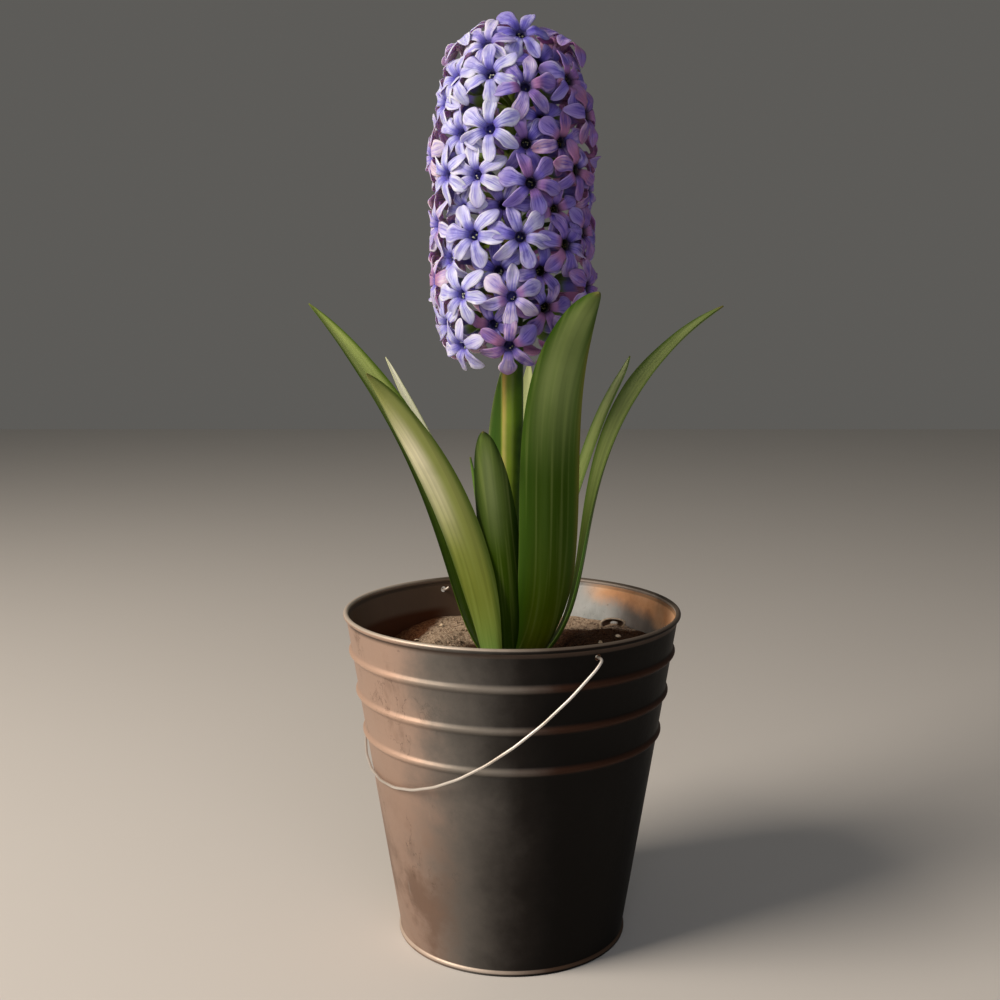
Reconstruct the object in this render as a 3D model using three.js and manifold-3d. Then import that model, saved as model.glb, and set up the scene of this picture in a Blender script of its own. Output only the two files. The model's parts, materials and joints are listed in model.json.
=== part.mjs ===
// A hyacinth in flower, planted with its bulb in a small galvanised bucket with a wire bail.
// Millimetres, +Z up. The origin is on the bucket's axis, on the floor that it stands on.
// Azimuths are degrees from +X towards +Y; the side that faces the viewer is -Y.

import * as THREE from 'three';
import { mergeVertices } from 'three/addons/utils/BufferGeometryUtils.js';
import Module from 'manifold-3d';

const wasm = await Module();
wasm.setup();

// Clearance between pieces that rest on one another
const gap = 0.3;

// Bucket, a straight-tapered wall of rolled sheet
const bucketHeight = 168;
const wallFootRadius = 57;
const wallTopRadius = 83.6;
const sheet = 1;
const bead = { radius: 1.5, centre: 83.2, sides: 7 };
const foot = { radius: 58.4, height: 2.6, ledgeRadius: 54, ledgeTop: 4 };
const ridge = { heights: [107.5, 128, 148.2], rise: 1.6, halfWidth: 2.6 };
const bottomThickness = 1;
const roundSides = 40;

// Bail, half an ellipse of wire that turns in two holes under the rim
const pivot = { azimuth: 117.5, height: 161.5, holeRadius: 1.6 };
const bail = {
  wireRadius: 0.75,
  halfSpan: 87.7,
  depth: 102.4,
  hang: 45,
  hookFrom: 78.6,
  hookLength: 4.2,
};

// Soil, level behind, lower on the left, with a dip that leaves the bulb's shoulder bare
const soil = {
  level: 146.4,
  leftDrop: 8.5,
  leftAzimuth: 185,
  leftSpread: 45,
  dipReach: 24,
  mouthRadius: 23.4,
  mouthHeight: 134.6,
  lumps: 0.5,
  pocketGap: 0.6,
};

// Bulb, its outline from the basal plate to the papery collar at the neck
const bulbOutline = [
  [0, 95.5], [9, 95.5], [12.5, 97], [20, 101.5], [25.4, 108], [27.8, 117],
  [27, 125.5], [23.9, 132.5], [19.6, 138], [17.6, 141], [20.2, 145.2], [19.3, 145.5],
];
const bulb = { sides: 20, dishRadius: 16.4, dishHeight: 141.3, roots: 9, rootLength: 17 };

// Flower stalk and head
const plantFoot = bulb.dishHeight + gap;
const stalk = { radius: 5.5, topRadius: 3.2, top: 440, sides: 8 };
const head = {
  radius: 40,
  shoulder: 392,
  waist: 330,
  topSpan: 60,
  footSpan: 62,
  topPitch: 34,
  footPitch: 26,
  crown: 448.5,
  crownStalk: 30,
};
const floret = {
  lobes: 6,
  tubeRadius: 3.5,
  throatDepth: 5,
  bulgeRadius: 2.8,
  bulgeAt: 17,
  rootRadius: 1.1,
  lobeLength: 14,
  lobeHalfWidth: 3.7,
  droop: 4.2,
  thickness: 1.1,
};

// Florets on the near side: azimuth, height, how far each sits behind the head's surface, how
// far its first lobe is turned up from the level, and how much more it faces up than its
// height gives. The far side repeats them turned half round, without the deepest ones.
const nearFlorets = [
  [-17, 442, -3, 20, 30], [-165, 443, -2, 40, 21], [-80, 442, 0, 5], [-118, 437, 0, 20], [-63, 428, 6, 50],
  [-140, 422, 0, 10], [-42, 421, 0, 38], [-108, 422, 0, 35], [-81, 416, 0, 12], [-155, 412, 2, 50],
  [-26, 406, 0, 0], [-66, 402, 7, 40], [-106, 397, 0, 30], [-130, 396, 2, 35], [-80, 391, 5, 52],
  [-52, 392, 3, 20], [-166, 388, 0, 15], [-141, 378, 0, 32], [-42, 380, 0, 45], [-116, 377, 1, 33],
  [-78, 373, 0, 50], [-98, 364, 8, 0], [-16, 372, 2, 30], [-57, 362, 4, 20], [-134, 363, 6, 5],
  [-158, 356, 1, 45], [-30, 352, 1, 10], [-118, 350, 0, 50], [-85, 349, 0, 50], [-50, 346, 1, 48],
  [-146, 340, 4, 20], [-102, 334, 7, 35], [-68, 334, 5, 15], [-26, 327, 0, 40], [-164, 330, 1, 0],
  [-128, 323, 0, 50], [-91, 322, 0, 27], [-62, 317, 6, 5], [-108, 309, 7, 45], [-152, 309, 2, 30],
  [-36, 304, 4, 25], [-135, 299, 0, 10], [-93, 299, 0, 25],
];
const farTurn = 180;
const farRise = 2.6;
const farDeepest = 3;

// Florets that fill the holes between the two halves
const moreFlorets = [
  [-4, 425, 1, 10], [176, 425, 1, 30], [103, 400, 0, 45], [-2, 350, 1, 55], [178, 345, 1, 20],
  [112, 314, 2, 0], [-3, 312, 1, 25], [138, 303, 1, 40], [170, 303, 2, 15],
];

// Leaves: the spine leaves the plant's foot at a distance from the axis and goes on by three
// control points of distance and height. Then the widths at the foot and at the widest, where
// along the spine that is, how blunt the tip is, how far the blade turns on its spine, and how
// many stretches it is made of.
const leaves = [
  {
    azimuth: 160, root: 14, spine: [[44, 178], [15, 226], [112, 320]],
    foot: 11, width: 22, widest: 0.61, blunt: 1.95, turn: 25, steps: 10,
  },
  {
    azimuth: 222, root: 14, spine: [[19, 150], [20, 217], [88.5, 288]],
    foot: 15, width: 22, widest: 0.5, blunt: 3.6, turn: -25, steps: 10,
  },
  {
    azimuth: 134, root: 11, spine: [[17.8, 194.6], [70.5, 255.2], [98.8, 291.4]],
    foot: 8, width: 8.5, widest: 0.49, blunt: 1.8, turn: 0, steps: 8,
  },
  {
    azimuth: 190, root: 8, spine: [[10, 180], [17, 215], [21, 244.5]],
    foot: 8, width: 10, widest: 0.55, blunt: 1.9, turn: 0, steps: 7,
  },
  {
    azimuth: -106, root: 10, spine: [[9, 172], [40, 243], [50, 261]],
    foot: 10, width: 20.5, widest: 0.46, blunt: 2.2, turn: 0, steps: 9,
  },
  {
    azimuth: 115, root: 8, spine: [[9, 190], [19, 244], [12, 287]],
    foot: 9, width: 18.5, widest: 0.5, blunt: 1.8, turn: 0, steps: 8,
  },
  {
    azimuth: -62, root: 14, spine: [[69, 191], [5, 275], [79, 323.5]],
    foot: 17, width: 29, widest: 0.3, blunt: 4, turn: 15, steps: 11,
  },
  {
    azimuth: 80, root: 11, spine: [[17, 190], [30, 240], [57, 290]],
    foot: 8, width: 15, widest: 0.55, blunt: 1.8, turn: 0, steps: 8,
  },
  {
    azimuth: 30, root: 11, spine: [[50, 274], [64, 274], [71, 293]],
    foot: 9, width: 10, widest: 0.48, blunt: 1.75, turn: 0, steps: 8,
  },
  {
    azimuth: -2, root: 14, spine: [[53.5, 177], [15, 261], [102.7, 318.3]],
    foot: 11, width: 19, widest: 0.78, blunt: 1.35, turn: -20, steps: 10,
  },
];
const leafShape = { thickness: 1.7, cup: 0.25, innerHalf: 0.4, taper: 0.75 };

const up = new THREE.Vector3(0, 0, 1);
const radians = THREE.MathUtils.degToRad;
const smooth = (x) => THREE.MathUtils.smoothstep(x, 0, 1);

// A repeatable draw between -1 and 1 for each number
function draw(index) {
  const wave = Math.sin(index * 12.9898 + 4.1414) * 43758.5453;
  return 2 * (wave - Math.floor(wave)) - 1;
}

// Volume under the triangles, which is negative where the faces point inwards
function signedVolume(geometry) {
  const place = geometry.attributes.position;
  const index = geometry.index.array;
  const a = new THREE.Vector3();
  const b = new THREE.Vector3();
  const c = new THREE.Vector3();
  let sum = 0;
  for (let i = 0; i < index.length; i += 3) {
    a.fromBufferAttribute(place, index[i]);
    b.fromBufferAttribute(place, index[i + 1]);
    c.fromBufferAttribute(place, index[i + 2]);
    sum += a.dot(b.cross(c)) / 6;
  }
  return sum;
}

// One closed mesh with shared vertices and its faces pointing out
function closed(geometry) {
  geometry.deleteAttribute('normal');
  geometry.deleteAttribute('uv');
  const merged = mergeVertices(geometry, 1e-4);
  const kept = [];
  const index = merged.index.array;
  for (let i = 0; i < index.length; i += 3) {
    const [a, b, c] = [index[i], index[i + 1], index[i + 2]];
    if (a !== b && b !== c && c !== a) kept.push(a, b, c);
  }
  merged.setIndex(kept);
  if (signedVolume(merged) < 0) {
    for (let i = 0; i < kept.length; i += 3) {
      [kept[i + 1], kept[i + 2]] = [kept[i + 2], kept[i + 1]];
    }
    merged.setIndex(kept);
  }
  return merged;
}

function fromLists(vertices, faces) {
  const geometry = new THREE.BufferGeometry();
  geometry.setAttribute('position', new THREE.Float32BufferAttribute(vertices.flat(), 3));
  geometry.setIndex(faces.flat());
  return closed(geometry);
}

function toSolid(geometry) {
  const body = closed(geometry);
  return new wasm.Manifold(new wasm.Mesh({
    numProp: 3,
    vertProperties: Float32Array.from(body.attributes.position.array),
    triVerts: Uint32Array.from(body.index.array),
  }));
}

function toGeometry(solid) {
  const mesh = solid.getMesh();
  const geometry = new THREE.BufferGeometry();
  geometry.setAttribute('position', new THREE.Float32BufferAttribute(mesh.vertProperties, 3));
  geometry.setIndex(Array.from(mesh.triVerts));
  return geometry;
}

// A profile of [radius, height] points turned round the vertical axis
function turned(profile, sides) {
  const points = profile.map(([radius, height]) => new THREE.Vector2(radius, height));
  return closed(new THREE.LatheGeometry(points, sides).rotateX(Math.PI / 2));
}

function material(colour, roughness, metalness) {
  return new THREE.MeshStandardMaterial({ color: colour, roughness, metalness });
}

// Outer radius of the plain tapered wall at a height
function wallRadius(height) {
  return THREE.MathUtils.lerp(wallFootRadius, wallTopRadius, height / bucketHeight);
}

function bucketWallGeometry() {
  const outside = [[foot.radius, 0], [foot.radius, foot.height]];
  const inside = [[foot.ledgeRadius, 0], [foot.ledgeRadius, foot.ledgeTop]];
  inside.push([wallRadius(foot.ledgeTop) - sheet, foot.ledgeTop]);
  outside.push([wallRadius(foot.height + 0.8), foot.height + 0.8]);
  for (const centre of ridge.heights) {
    for (const [across, rise] of [[-1, 0], [-0.4, 0.9], [0.4, 0.9], [1, 0]]) {
      const height = centre + across * ridge.halfWidth;
      outside.push([wallRadius(height) + rise * ridge.rise, height]);
    }
  }
  const beadHeight = bucketHeight - bead.radius;
  const beadLow = beadHeight - bead.radius - 0.4;
  outside.push([wallRadius(beadLow), beadLow]);
  inside.push([wallRadius(beadLow) - sheet, beadLow]);
  const beadArc = [];
  for (let i = 0; i <= bead.sides; i += 1) {
    const angle = radians(-60 + (300 * i) / bead.sides);
    const radius = bead.centre + bead.radius * Math.cos(angle);
    beadArc.push([radius, beadHeight + bead.radius * Math.sin(angle)]);
  }
  const profile = [...outside, ...beadArc, ...inside.reverse(), outside[0]];
  const wall = toSolid(turned(profile, roundSides));
  const drill = new THREE.CylinderGeometry(pivot.holeRadius, pivot.holeRadius, 12, 10);
  drill.rotateZ(Math.PI / 2);
  const holes = [-1, 1].map((side) => {
    const hole = drill.clone().translate(side * wallRadius(pivot.height), 0, pivot.height);
    return toSolid(hole.rotateZ(radians(pivot.azimuth)));
  });
  return toGeometry(wall.subtract(holes[0]).subtract(holes[1]));
}

function bucketBottomGeometry() {
  const low = foot.ledgeTop + gap;
  const radius = wallRadius(low) - sheet - gap;
  const top = low + bottomThickness;
  return turned([[0, low], [radius, low], [radius, top], [0, top]], roundSides);
}

// The wire runs in its own flat plane: x along the pivots, y away from them
function bailGeometry() {
  const half = [
    [bail.hookFrom, -bail.hookLength],
    [bail.hookFrom, -1.4],
    [bail.hookFrom + 1.4, 0],
    [bail.halfSpan - 2.6, 0],
    [bail.halfSpan - 0.9, 0.9],
  ];
  const bends = 9;
  for (let i = 0; i < bends; i += 1) {
    const angle = radians(3 + (87 * i) / bends);
    half.push([bail.halfSpan * Math.cos(angle), bail.depth * Math.sin(angle)]);
  }
  const far = half.map(([x, y]) => [-x, y]).reverse();
  const route = [...half, [0, bail.depth], ...far].map(([x, y]) => new THREE.Vector3(x, y, 0));
  const path = new THREE.CatmullRomCurve3(route, false, 'centripetal');
  const wire = new THREE.Shape().absarc(0, 0, bail.wireRadius, 0, 2 * Math.PI);
  const tube = new THREE.ExtrudeGeometry(wire, {
    steps: 52, curveSegments: 3, bevelEnabled: false, extrudePath: path,
  });
  return closed(tube);
}

// Height of the soil's surface at a place
function soilTop(x, y) {
  const radius = Math.hypot(x, y);
  const azimuth = THREE.MathUtils.radToDeg(Math.atan2(y, x));
  const fromLeft = Math.abs(((azimuth - soil.leftAzimuth + 540) % 360) - 180);
  const left = smooth(1.5 - fromLeft / soil.leftSpread) * smooth((radius - 40) / 30);
  const dip = 1 - smooth((radius - soil.mouthRadius) / soil.dipReach);
  const lump = Math.sin(x / 7 + 1) * Math.cos(y / 6) + 0.6 * Math.sin(x / 3.1 - y / 4.3);
  const level = soil.level - soil.leftDrop * left + soil.lumps * lump;
  return THREE.MathUtils.lerp(level, soil.mouthHeight, dip);
}

function soilGeometry() {
  const low = foot.ledgeTop + gap + bottomThickness + gap;
  const innerWall = (height) => wallRadius(height) - sheet - gap;
  const pocket = bulbOutline
    .filter(([radius, height]) => height < soil.mouthHeight && radius > 9)
    .map(([radius, height]) => [radius + soil.pocketGap, height - soil.pocketGap]);
  const rootFloor = bulbOutline[0][1] - bulb.rootLength - 1;
  const rootRoom = [[0, rootFloor], [13, rootFloor], [15, bulbOutline[0][1] - 6]];
  const surface = [soil.mouthRadius + 0.6, 31, 39, 50, 64];
  const rim = innerWall(soil.level);
  const profile = [
    ...rootRoom, ...pocket, ...surface.map((radius) => [radius, soil.level]),
    [rim, soil.level], [innerWall(low), low], [0, low],
  ];
  const body = turned(profile, roundSides);
  const place = body.attributes.position;
  for (let i = 0; i < place.count; i += 1) {
    if (Math.abs(place.getZ(i) - soil.level) > 1e-3) continue;
    const x = place.getX(i);
    const y = place.getY(i);
    const height = soilTop(x, y);
    const inward = Math.min(1, innerWall(height - 1) / Math.hypot(x, y));
    place.setXYZ(i, x * inward, y * inward, height);
  }
  return body;
}

// The bulb with a ring of short roots drawn out of its basal plate
function bulbGeometry() {
  const outline = [...bulbOutline, [bulb.dishRadius, bulb.dishHeight], [0, bulb.dishHeight]];
  let body = toSolid(turned(outline, bulb.sides));
  const plate = bulbOutline[0][1];
  for (let i = 0; i < bulb.roots; i += 1) {
    const lean = radians(16 + 6 * draw(i));
    const root = new THREE.CylinderGeometry(1.3, 0.7, bulb.rootLength, 5);
    root.translate(0, -bulb.rootLength / 2 + 2, 0).rotateX(Math.PI / 2).rotateY(-lean);
    root.translate(6.5, 0, plate).rotateZ((2 * Math.PI * i) / bulb.roots);
    body = body.add(toSolid(root));
  }
  return toGeometry(body);
}

// Blade width at a place along the spine, from 0 at the foot to 1 at the tip
function bladeWidth(leaf, along) {
  if (along < leaf.widest) {
    return THREE.MathUtils.lerp(leaf.foot, leaf.width, smooth(along / leaf.widest));
  }
  const past = (along - leaf.widest) / (1 - leaf.widest);
  return leaf.width * Math.max(0, 1 - past ** leaf.blunt) ** leafShape.taper;
}

// A channelled blade round a curved spine that leans towards +X, hollow side towards the stalk
function leafGeometry(leaf) {
  const controls = [[leaf.root, plantFoot], ...leaf.spine].map(([distance, height]) => (
    new THREE.Vector3(distance, 0, height)
  ));
  const spine = new THREE.CubicBezierCurve3(...controls);
  const sideways = new THREE.Vector3(0, 1, 0);
  const half = leafShape.thickness / 2;
  const ring = [
    [-1, 0], [-leafShape.innerHalf, half], [leafShape.innerHalf, half],
    [1, 0], [leafShape.innerHalf, -half], [-leafShape.innerHalf, -half],
  ];
  const vertices = [];
  const faces = [[0, 1, 5], [1, 2, 4], [1, 4, 5], [2, 3, 4]];
  for (let step = 0; step < leaf.steps; step += 1) {
    const along = 1 - (1 - step / leaf.steps) ** 1.3;
    const tangent = spine.getTangent(along);
    const normal = new THREE.Vector3().crossVectors(sideways, tangent);
    const turn = radians(leaf.turn) * smooth(along / 0.8);
    const across = sideways.clone().multiplyScalar(Math.cos(turn));
    across.addScaledVector(normal, Math.sin(turn));
    const back = new THREE.Vector3().crossVectors(across, tangent);
    const reach = bladeWidth(leaf, along) / 2;
    for (const [u, lift] of ring) {
      const point = spine.getPoint(along).addScaledVector(across, u * reach);
      point.addScaledVector(back, lift - leafShape.cup * reach * u * u);
      if (step === 0) point.z = plantFoot;
      vertices.push(point.toArray());
    }
    if (step === 0) continue;
    for (let i = 0; i < ring.length; i += 1) {
      const a = (step - 1) * ring.length + i;
      const b = (step - 1) * ring.length + ((i + 1) % ring.length);
      faces.push([a, a + ring.length, b], [b, a + ring.length, b + ring.length]);
    }
  }
  const tip = vertices.length;
  vertices.push(spine.getPoint(1).toArray());
  for (let i = 0; i < ring.length; i += 1) {
    faces.push([tip - ring.length + i, tip, tip - ring.length + ((i + 1) % ring.length)]);
  }
  return fromLists(vertices, faces);
}

// Radius of the surface that the florets' throats lie on
function headRadius(height) {
  const over = Math.max(0, height - head.shoulder) / head.topSpan;
  const under = Math.max(0, head.waist - height) / head.footSpan;
  return head.radius * Math.sqrt(Math.max(0.01, 1 - over ** 2 - under ** 2));
}

// Angle above the level at which a floret at a height faces
function headPitch(height) {
  const over = Math.max(0, height - head.shoulder) / 58;
  const under = Math.max(0, head.waist - height) / 35;
  return head.topPitch * over ** 1.2 - head.footPitch * under;
}

// One floret: six drooping lobes round a throat, a bulged tube and the stalk it stands on.
// Its throat is at the origin and it faces +Z.
function floretGeometry(length) {
  const vertices = [[0, 0, -floret.throatDepth]];
  const faces = [];
  const lobeAngle = (2 * Math.PI) / floret.lobes;
  const drop = (distance) => 1.2 - floret.droop * (distance / floret.lobeLength) ** 2;
  const at = (angle, distance, side, height) => {
    const x = distance * Math.cos(angle) - side * Math.sin(angle);
    const y = distance * Math.sin(angle) + side * Math.cos(angle);
    vertices.push([x, y, height]);
    return vertices.length - 1;
  };
  const valleys = [];
  for (let i = 0; i < floret.lobes; i += 1) {
    valleys.push(at((i - 0.5) * lobeAngle, floret.tubeRadius, 0, -0.4));
  }
  const { lobeLength: reach, lobeHalfWidth: wide } = floret;
  for (let i = 0; i < floret.lobes; i += 1) {
    const angle = i * lobeAngle;
    const middle = 0.58 * reach;
    const face = at(angle, middle, 0, drop(middle) + floret.thickness);
    const rim = [
      valleys[i],
      at(angle, 0.6 * reach, -wide, drop(0.6 * reach)),
      at(angle, 0.97 * reach, -0.36 * wide, drop(reach)),
      at(angle, 0.97 * reach, 0.36 * wide, drop(reach)),
      at(angle, 0.6 * reach, wide, drop(0.6 * reach)),
      valleys[(i + 1) % floret.lobes],
    ];
    for (let j = 0; j + 1 < rim.length; j += 1) faces.push([face, rim[j], rim[j + 1]]);
    faces.push([face, rim[5], 0], [face, 0, rim[0]]);
    faces.push([rim[0], rim[5], rim[4]], [rim[0], rim[4], rim[1]]);
    faces.push([rim[1], rim[4], rim[3]], [rim[1], rim[3], rim[2]]);
  }
  const bulge = [0, 1, 2].map((i) => at(2 * i * lobeAngle, floret.bulgeRadius, 0, -floret.bulgeAt));
  const root = [0, 1, 2].map((i) => at(2 * i * lobeAngle, floret.rootRadius, 0, -length));
  for (let i = 0; i < 3; i += 1) {
    const next = (i + 1) % 3;
    const [before, after, last] = [2 * i, 2 * i + 1, (2 * i + 2) % floret.lobes];
    faces.push([valleys[before], bulge[i], valleys[after]]);
    faces.push([valleys[after], bulge[i], bulge[next]], [valleys[after], bulge[next], valleys[last]]);
    faces.push([bulge[i], root[i], bulge[next]], [bulge[next], root[i], root[next]]);
  }
  faces.push([root[0], root[2], root[1]]);
  return fromLists(vertices, faces);
}

// A floret set on the head's surface with its stalk's root inside the main stalk
function placedFloret(azimuthDegrees, height, sink, roll, lift = 0) {
  const azimuth = radians(azimuthDegrees);
  const pitch = radians(headPitch(height) + lift);
  const radius = headRadius(height) - sink;
  const outward = new THREE.Vector3(Math.cos(azimuth), Math.sin(azimuth), 0);
  const facing = outward.clone().multiplyScalar(Math.cos(pitch));
  facing.addScaledVector(up, Math.sin(pitch));
  const spin = new THREE.Quaternion().setFromAxisAngle(up, radians(roll + azimuthDegrees + 90));
  const aim = new THREE.Quaternion().setFromUnitVectors(up, facing);
  const place = outward.multiplyScalar(radius).addScaledVector(up, height);
  const matrix = new THREE.Matrix4().compose(place, aim.multiply(spin), new THREE.Vector3(1, 1, 1));
  return floretGeometry(radius / Math.cos(pitch) - 1).applyMatrix4(matrix);
}

function flowerSpikeGeometry() {
  const outline = [
    [0, plantFoot], [stalk.radius, plantFoot], [stalk.radius, 300],
    [stalk.topRadius, stalk.top], [0, stalk.top + 2],
  ];
  let spike = toSolid(turned(outline, stalk.sides));
  nearFlorets.forEach(([azimuth, height, sink, roll, lift], i) => {
    spike = spike.add(toSolid(placedFloret(azimuth, height, sink, roll, lift)));
    if (sink > farDeepest) return;
    const farHeight = height + farRise * draw(i + 50);
    spike = spike.add(toSolid(placedFloret(azimuth + farTurn, farHeight, sink, roll, lift)));
  });
  moreFlorets.forEach(([azimuth, height, sink, roll]) => {
    spike = spike.add(toSolid(placedFloret(azimuth, height, sink, roll)));
  });
  spike = spike.add(toSolid(floretGeometry(head.crownStalk).translate(0, 0, head.crown)));
  return toGeometry(spike);
}

const zinc = material(0x8c8a84, 0.45, 0.9);
const wireSteel = material(0xd8d2c8, 0.3, 1);
const darkSoil = material(0x5a4636, 0.95, 0);
const bulbSkin = material(0x7b4a52, 0.7, 0);
const petals = material(0x9a92dc, 0.6, 0);
const leafGreen = material(0x56722f, 0.55, 0);

const plant = new THREE.Group();

function addMesh(parent, name, geometry, finish) {
  const mesh = new THREE.Mesh(geometry, finish);
  mesh.name = name;
  parent.add(mesh);
  return mesh;
}

addMesh(plant, 'bucket_wall', bucketWallGeometry(), zinc);
addMesh(plant, 'bucket_bottom', bucketBottomGeometry(), zinc);
addMesh(plant, 'soil', soilGeometry(), darkSoil);
addMesh(plant, 'bulb', bulbGeometry(), bulbSkin);
addMesh(plant, 'flower_spike', flowerSpikeGeometry(), petals);
leaves.forEach((leaf, i) => {
  const blade = addMesh(plant, `leaf_${i + 1}`, leafGeometry(leaf), leafGreen);
  blade.rotation.z = radians(leaf.azimuth);
});

const pivots = new THREE.Group();
pivots.position.set(0, 0, pivot.height);
pivots.rotation.z = radians(pivot.azimuth);
plant.add(pivots);
addMesh(pivots, 'bail', bailGeometry(), wireSteel).rotation.x = -radians(bail.hang);

export default plant;
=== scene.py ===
import bmesh
import bpy
import json
import math
import random
from mathutils import Matrix, Quaternion, Vector, noise

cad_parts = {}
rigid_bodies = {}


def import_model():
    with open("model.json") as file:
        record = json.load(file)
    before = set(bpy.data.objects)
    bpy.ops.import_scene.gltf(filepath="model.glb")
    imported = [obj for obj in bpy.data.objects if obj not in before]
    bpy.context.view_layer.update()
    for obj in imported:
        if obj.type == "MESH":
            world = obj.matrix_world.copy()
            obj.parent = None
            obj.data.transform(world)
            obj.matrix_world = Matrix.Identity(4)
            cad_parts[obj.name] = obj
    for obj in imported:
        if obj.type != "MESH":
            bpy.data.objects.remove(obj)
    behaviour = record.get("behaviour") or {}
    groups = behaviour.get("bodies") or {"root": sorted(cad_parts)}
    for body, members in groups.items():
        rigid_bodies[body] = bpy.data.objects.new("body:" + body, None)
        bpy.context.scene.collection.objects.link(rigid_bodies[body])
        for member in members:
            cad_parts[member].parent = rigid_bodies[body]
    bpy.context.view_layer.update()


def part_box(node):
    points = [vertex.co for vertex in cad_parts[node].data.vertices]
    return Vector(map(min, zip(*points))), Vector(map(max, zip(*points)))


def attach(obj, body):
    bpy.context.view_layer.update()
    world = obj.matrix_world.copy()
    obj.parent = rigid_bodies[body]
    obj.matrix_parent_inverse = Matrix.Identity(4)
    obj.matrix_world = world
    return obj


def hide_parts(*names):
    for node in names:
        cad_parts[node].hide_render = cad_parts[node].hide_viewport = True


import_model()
print("Frame loaded")

# Sizes in the dictionaries are millimetres and degrees, as on the drawing of the part, and
# makePiece, tubes and scatter turn them into metres. The camera, the room and all that a paint
# reads are in metres. Azimuths go from +X towards +Y, and the viewer is at -Y.
mm = 0.001
up = Vector((0, 0, 1))

cameraView = {"place": (-0.006, -0.6293, 0.312), "pitchDown": 8.094, "lens": 45.83, "sensor": 36.0}


def setCamera():
    camera = addObject("camera", bpy.data.cameras.new("camera"))
    camera.data.lens = cameraView["lens"]
    camera.data.sensor_width = cameraView["sensor"]
    camera.location = cameraView["place"]
    camera.rotation_euler = (math.radians(90 - cameraView["pitchDown"]), 0, 0)
    bpy.context.scene.camera = camera


# Small helpers

def smooth(x):
    x = min(max(x, 0.0), 1.0)
    return x * x * (3 - 2 * x)


def lerp(a, b, share):
    return a + (b - a) * share


def draw(index):  # a repeatable draw between -1 and 1, the same as in the part
    wave = math.sin(index * 12.9898 + 4.1414) * 43758.5453
    return 2 * (wave - math.floor(wave)) - 1


def outwardAt(azimuth):
    return Vector((math.cos(math.radians(azimuth)), math.sin(math.radians(azimuth)), 0))


def addObject(name, data):
    made = bpy.data.objects.new(name, data)
    bpy.context.scene.collection.objects.link(made)
    return made


def setValues(mesh, label, values, kind="FLOAT", field="value"):  # one for each point
    mesh.attributes.new(label, kind, "POINT").data.foreach_set(field, list(values))


def evaluated(source):  # its mesh with the modifiers applied
    depsgraph = bpy.context.evaluated_depsgraph_get()
    return bpy.data.meshes.new_from_object(source.evaluated_get(depsgraph), depsgraph=depsgraph)


def makePiece(name, points, faces, material=None, attributes=None):
    mesh = bpy.data.meshes.new(name)
    mesh.from_pydata([tuple(c * mm for c in point) for point in points], [], faces)
    for label, values in (attributes or {}).items():
        setValues(mesh, label, values)
    if material:
        mesh.materials.append(material)
    piece = addObject(name, mesh)
    faceOut(piece)
    return piece


def faceOut(piece):  # each closed shell's faces turned outwards and shaded smooth
    shell = bmesh.new()
    shell.from_mesh(piece.data)
    bmesh.ops.recalc_face_normals(shell, faces=shell.faces)
    for face in shell.faces:
        face.smooth = True
    shell.to_mesh(piece.data)
    shell.free()


def sharpen(piece, degrees):  # edges that bend more than this stay crisp
    piece.data.set_sharp_from_angle(angle=math.radians(degrees))


def seat(piece, body, slot, *nodes):
    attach(piece, body)
    if nodes:
        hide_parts(*nodes)


def turnedShape(profile, sides, loop=False):  # a profile of radius and height turned round Z
    rings, points, faces = [], [], []
    for radius, height in profile:
        count = 1 if radius < 1e-6 else sides
        ring = []
        for i in range(count):
            angle = 2 * math.pi * i / sides
            ring.append(len(points))
            points.append((radius * math.cos(angle), radius * math.sin(angle), height))
        rings.append(ring)
    pairs = list(zip(rings, rings[1:]))
    if loop:
        pairs.append((rings[-1], rings[0]))
    for low, high in pairs:
        for i in range(sides):
            j = (i + 1) % sides
            if len(low) == 1:
                faces.append((low[0], high[j], high[i]))
            elif len(high) == 1:
                faces.append((low[i], low[j], high[0]))
            else:
                faces.append((low[i], low[j], high[j], high[i]))
    return points, faces


# Paint: one material's nodes, built one after another

def colour(code):  # "#rrggbb" as a linear colour
    parts = [int(code[i:i + 2], 16) / 255 for i in (1, 3, 5)]
    return tuple(((c + 0.055) / 1.055) ** 2.4 if c > 0.04045 else c / 12.92 for c in parts) + (1,)


class Value:  # a number, a vector or a colour that one of a paint's nodes gives
    def __init__(self, paint, socket):
        self.paint = paint
        self.socket = socket

    def __add__(self, other):
        return self.paint.maths("ADD", self, other)

    def __sub__(self, other):
        return self.paint.maths("SUBTRACT", self, other)

    def __mul__(self, other):
        return self.paint.maths("MULTIPLY", self, other)

    def __truediv__(self, other):
        return self.paint.maths("DIVIDE", self, other)

    def __abs__(self):
        return self.paint.maths("ABSOLUTE", self)

    def fraction(self):
        return self.paint.maths("FRACT", self)

    def span(self, low, high, first=0.0, last=1.0):  # first at low and below, last at high and above
        inputs = {"Value": self, "From Min": low, "From Max": high, "To Min": first, "To Max": last}
        return self.paint.node("ShaderNodeMapRange", "Result", inputs, interpolation_type="SMOOTHSTEP")

    def mix(self, a, b):  # colour a where the value is 0, b where it is 1
        return self.paint.node("ShaderNodeMix", 2, {0: self, 6: a, 7: b}, data_type="RGBA")


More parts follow.
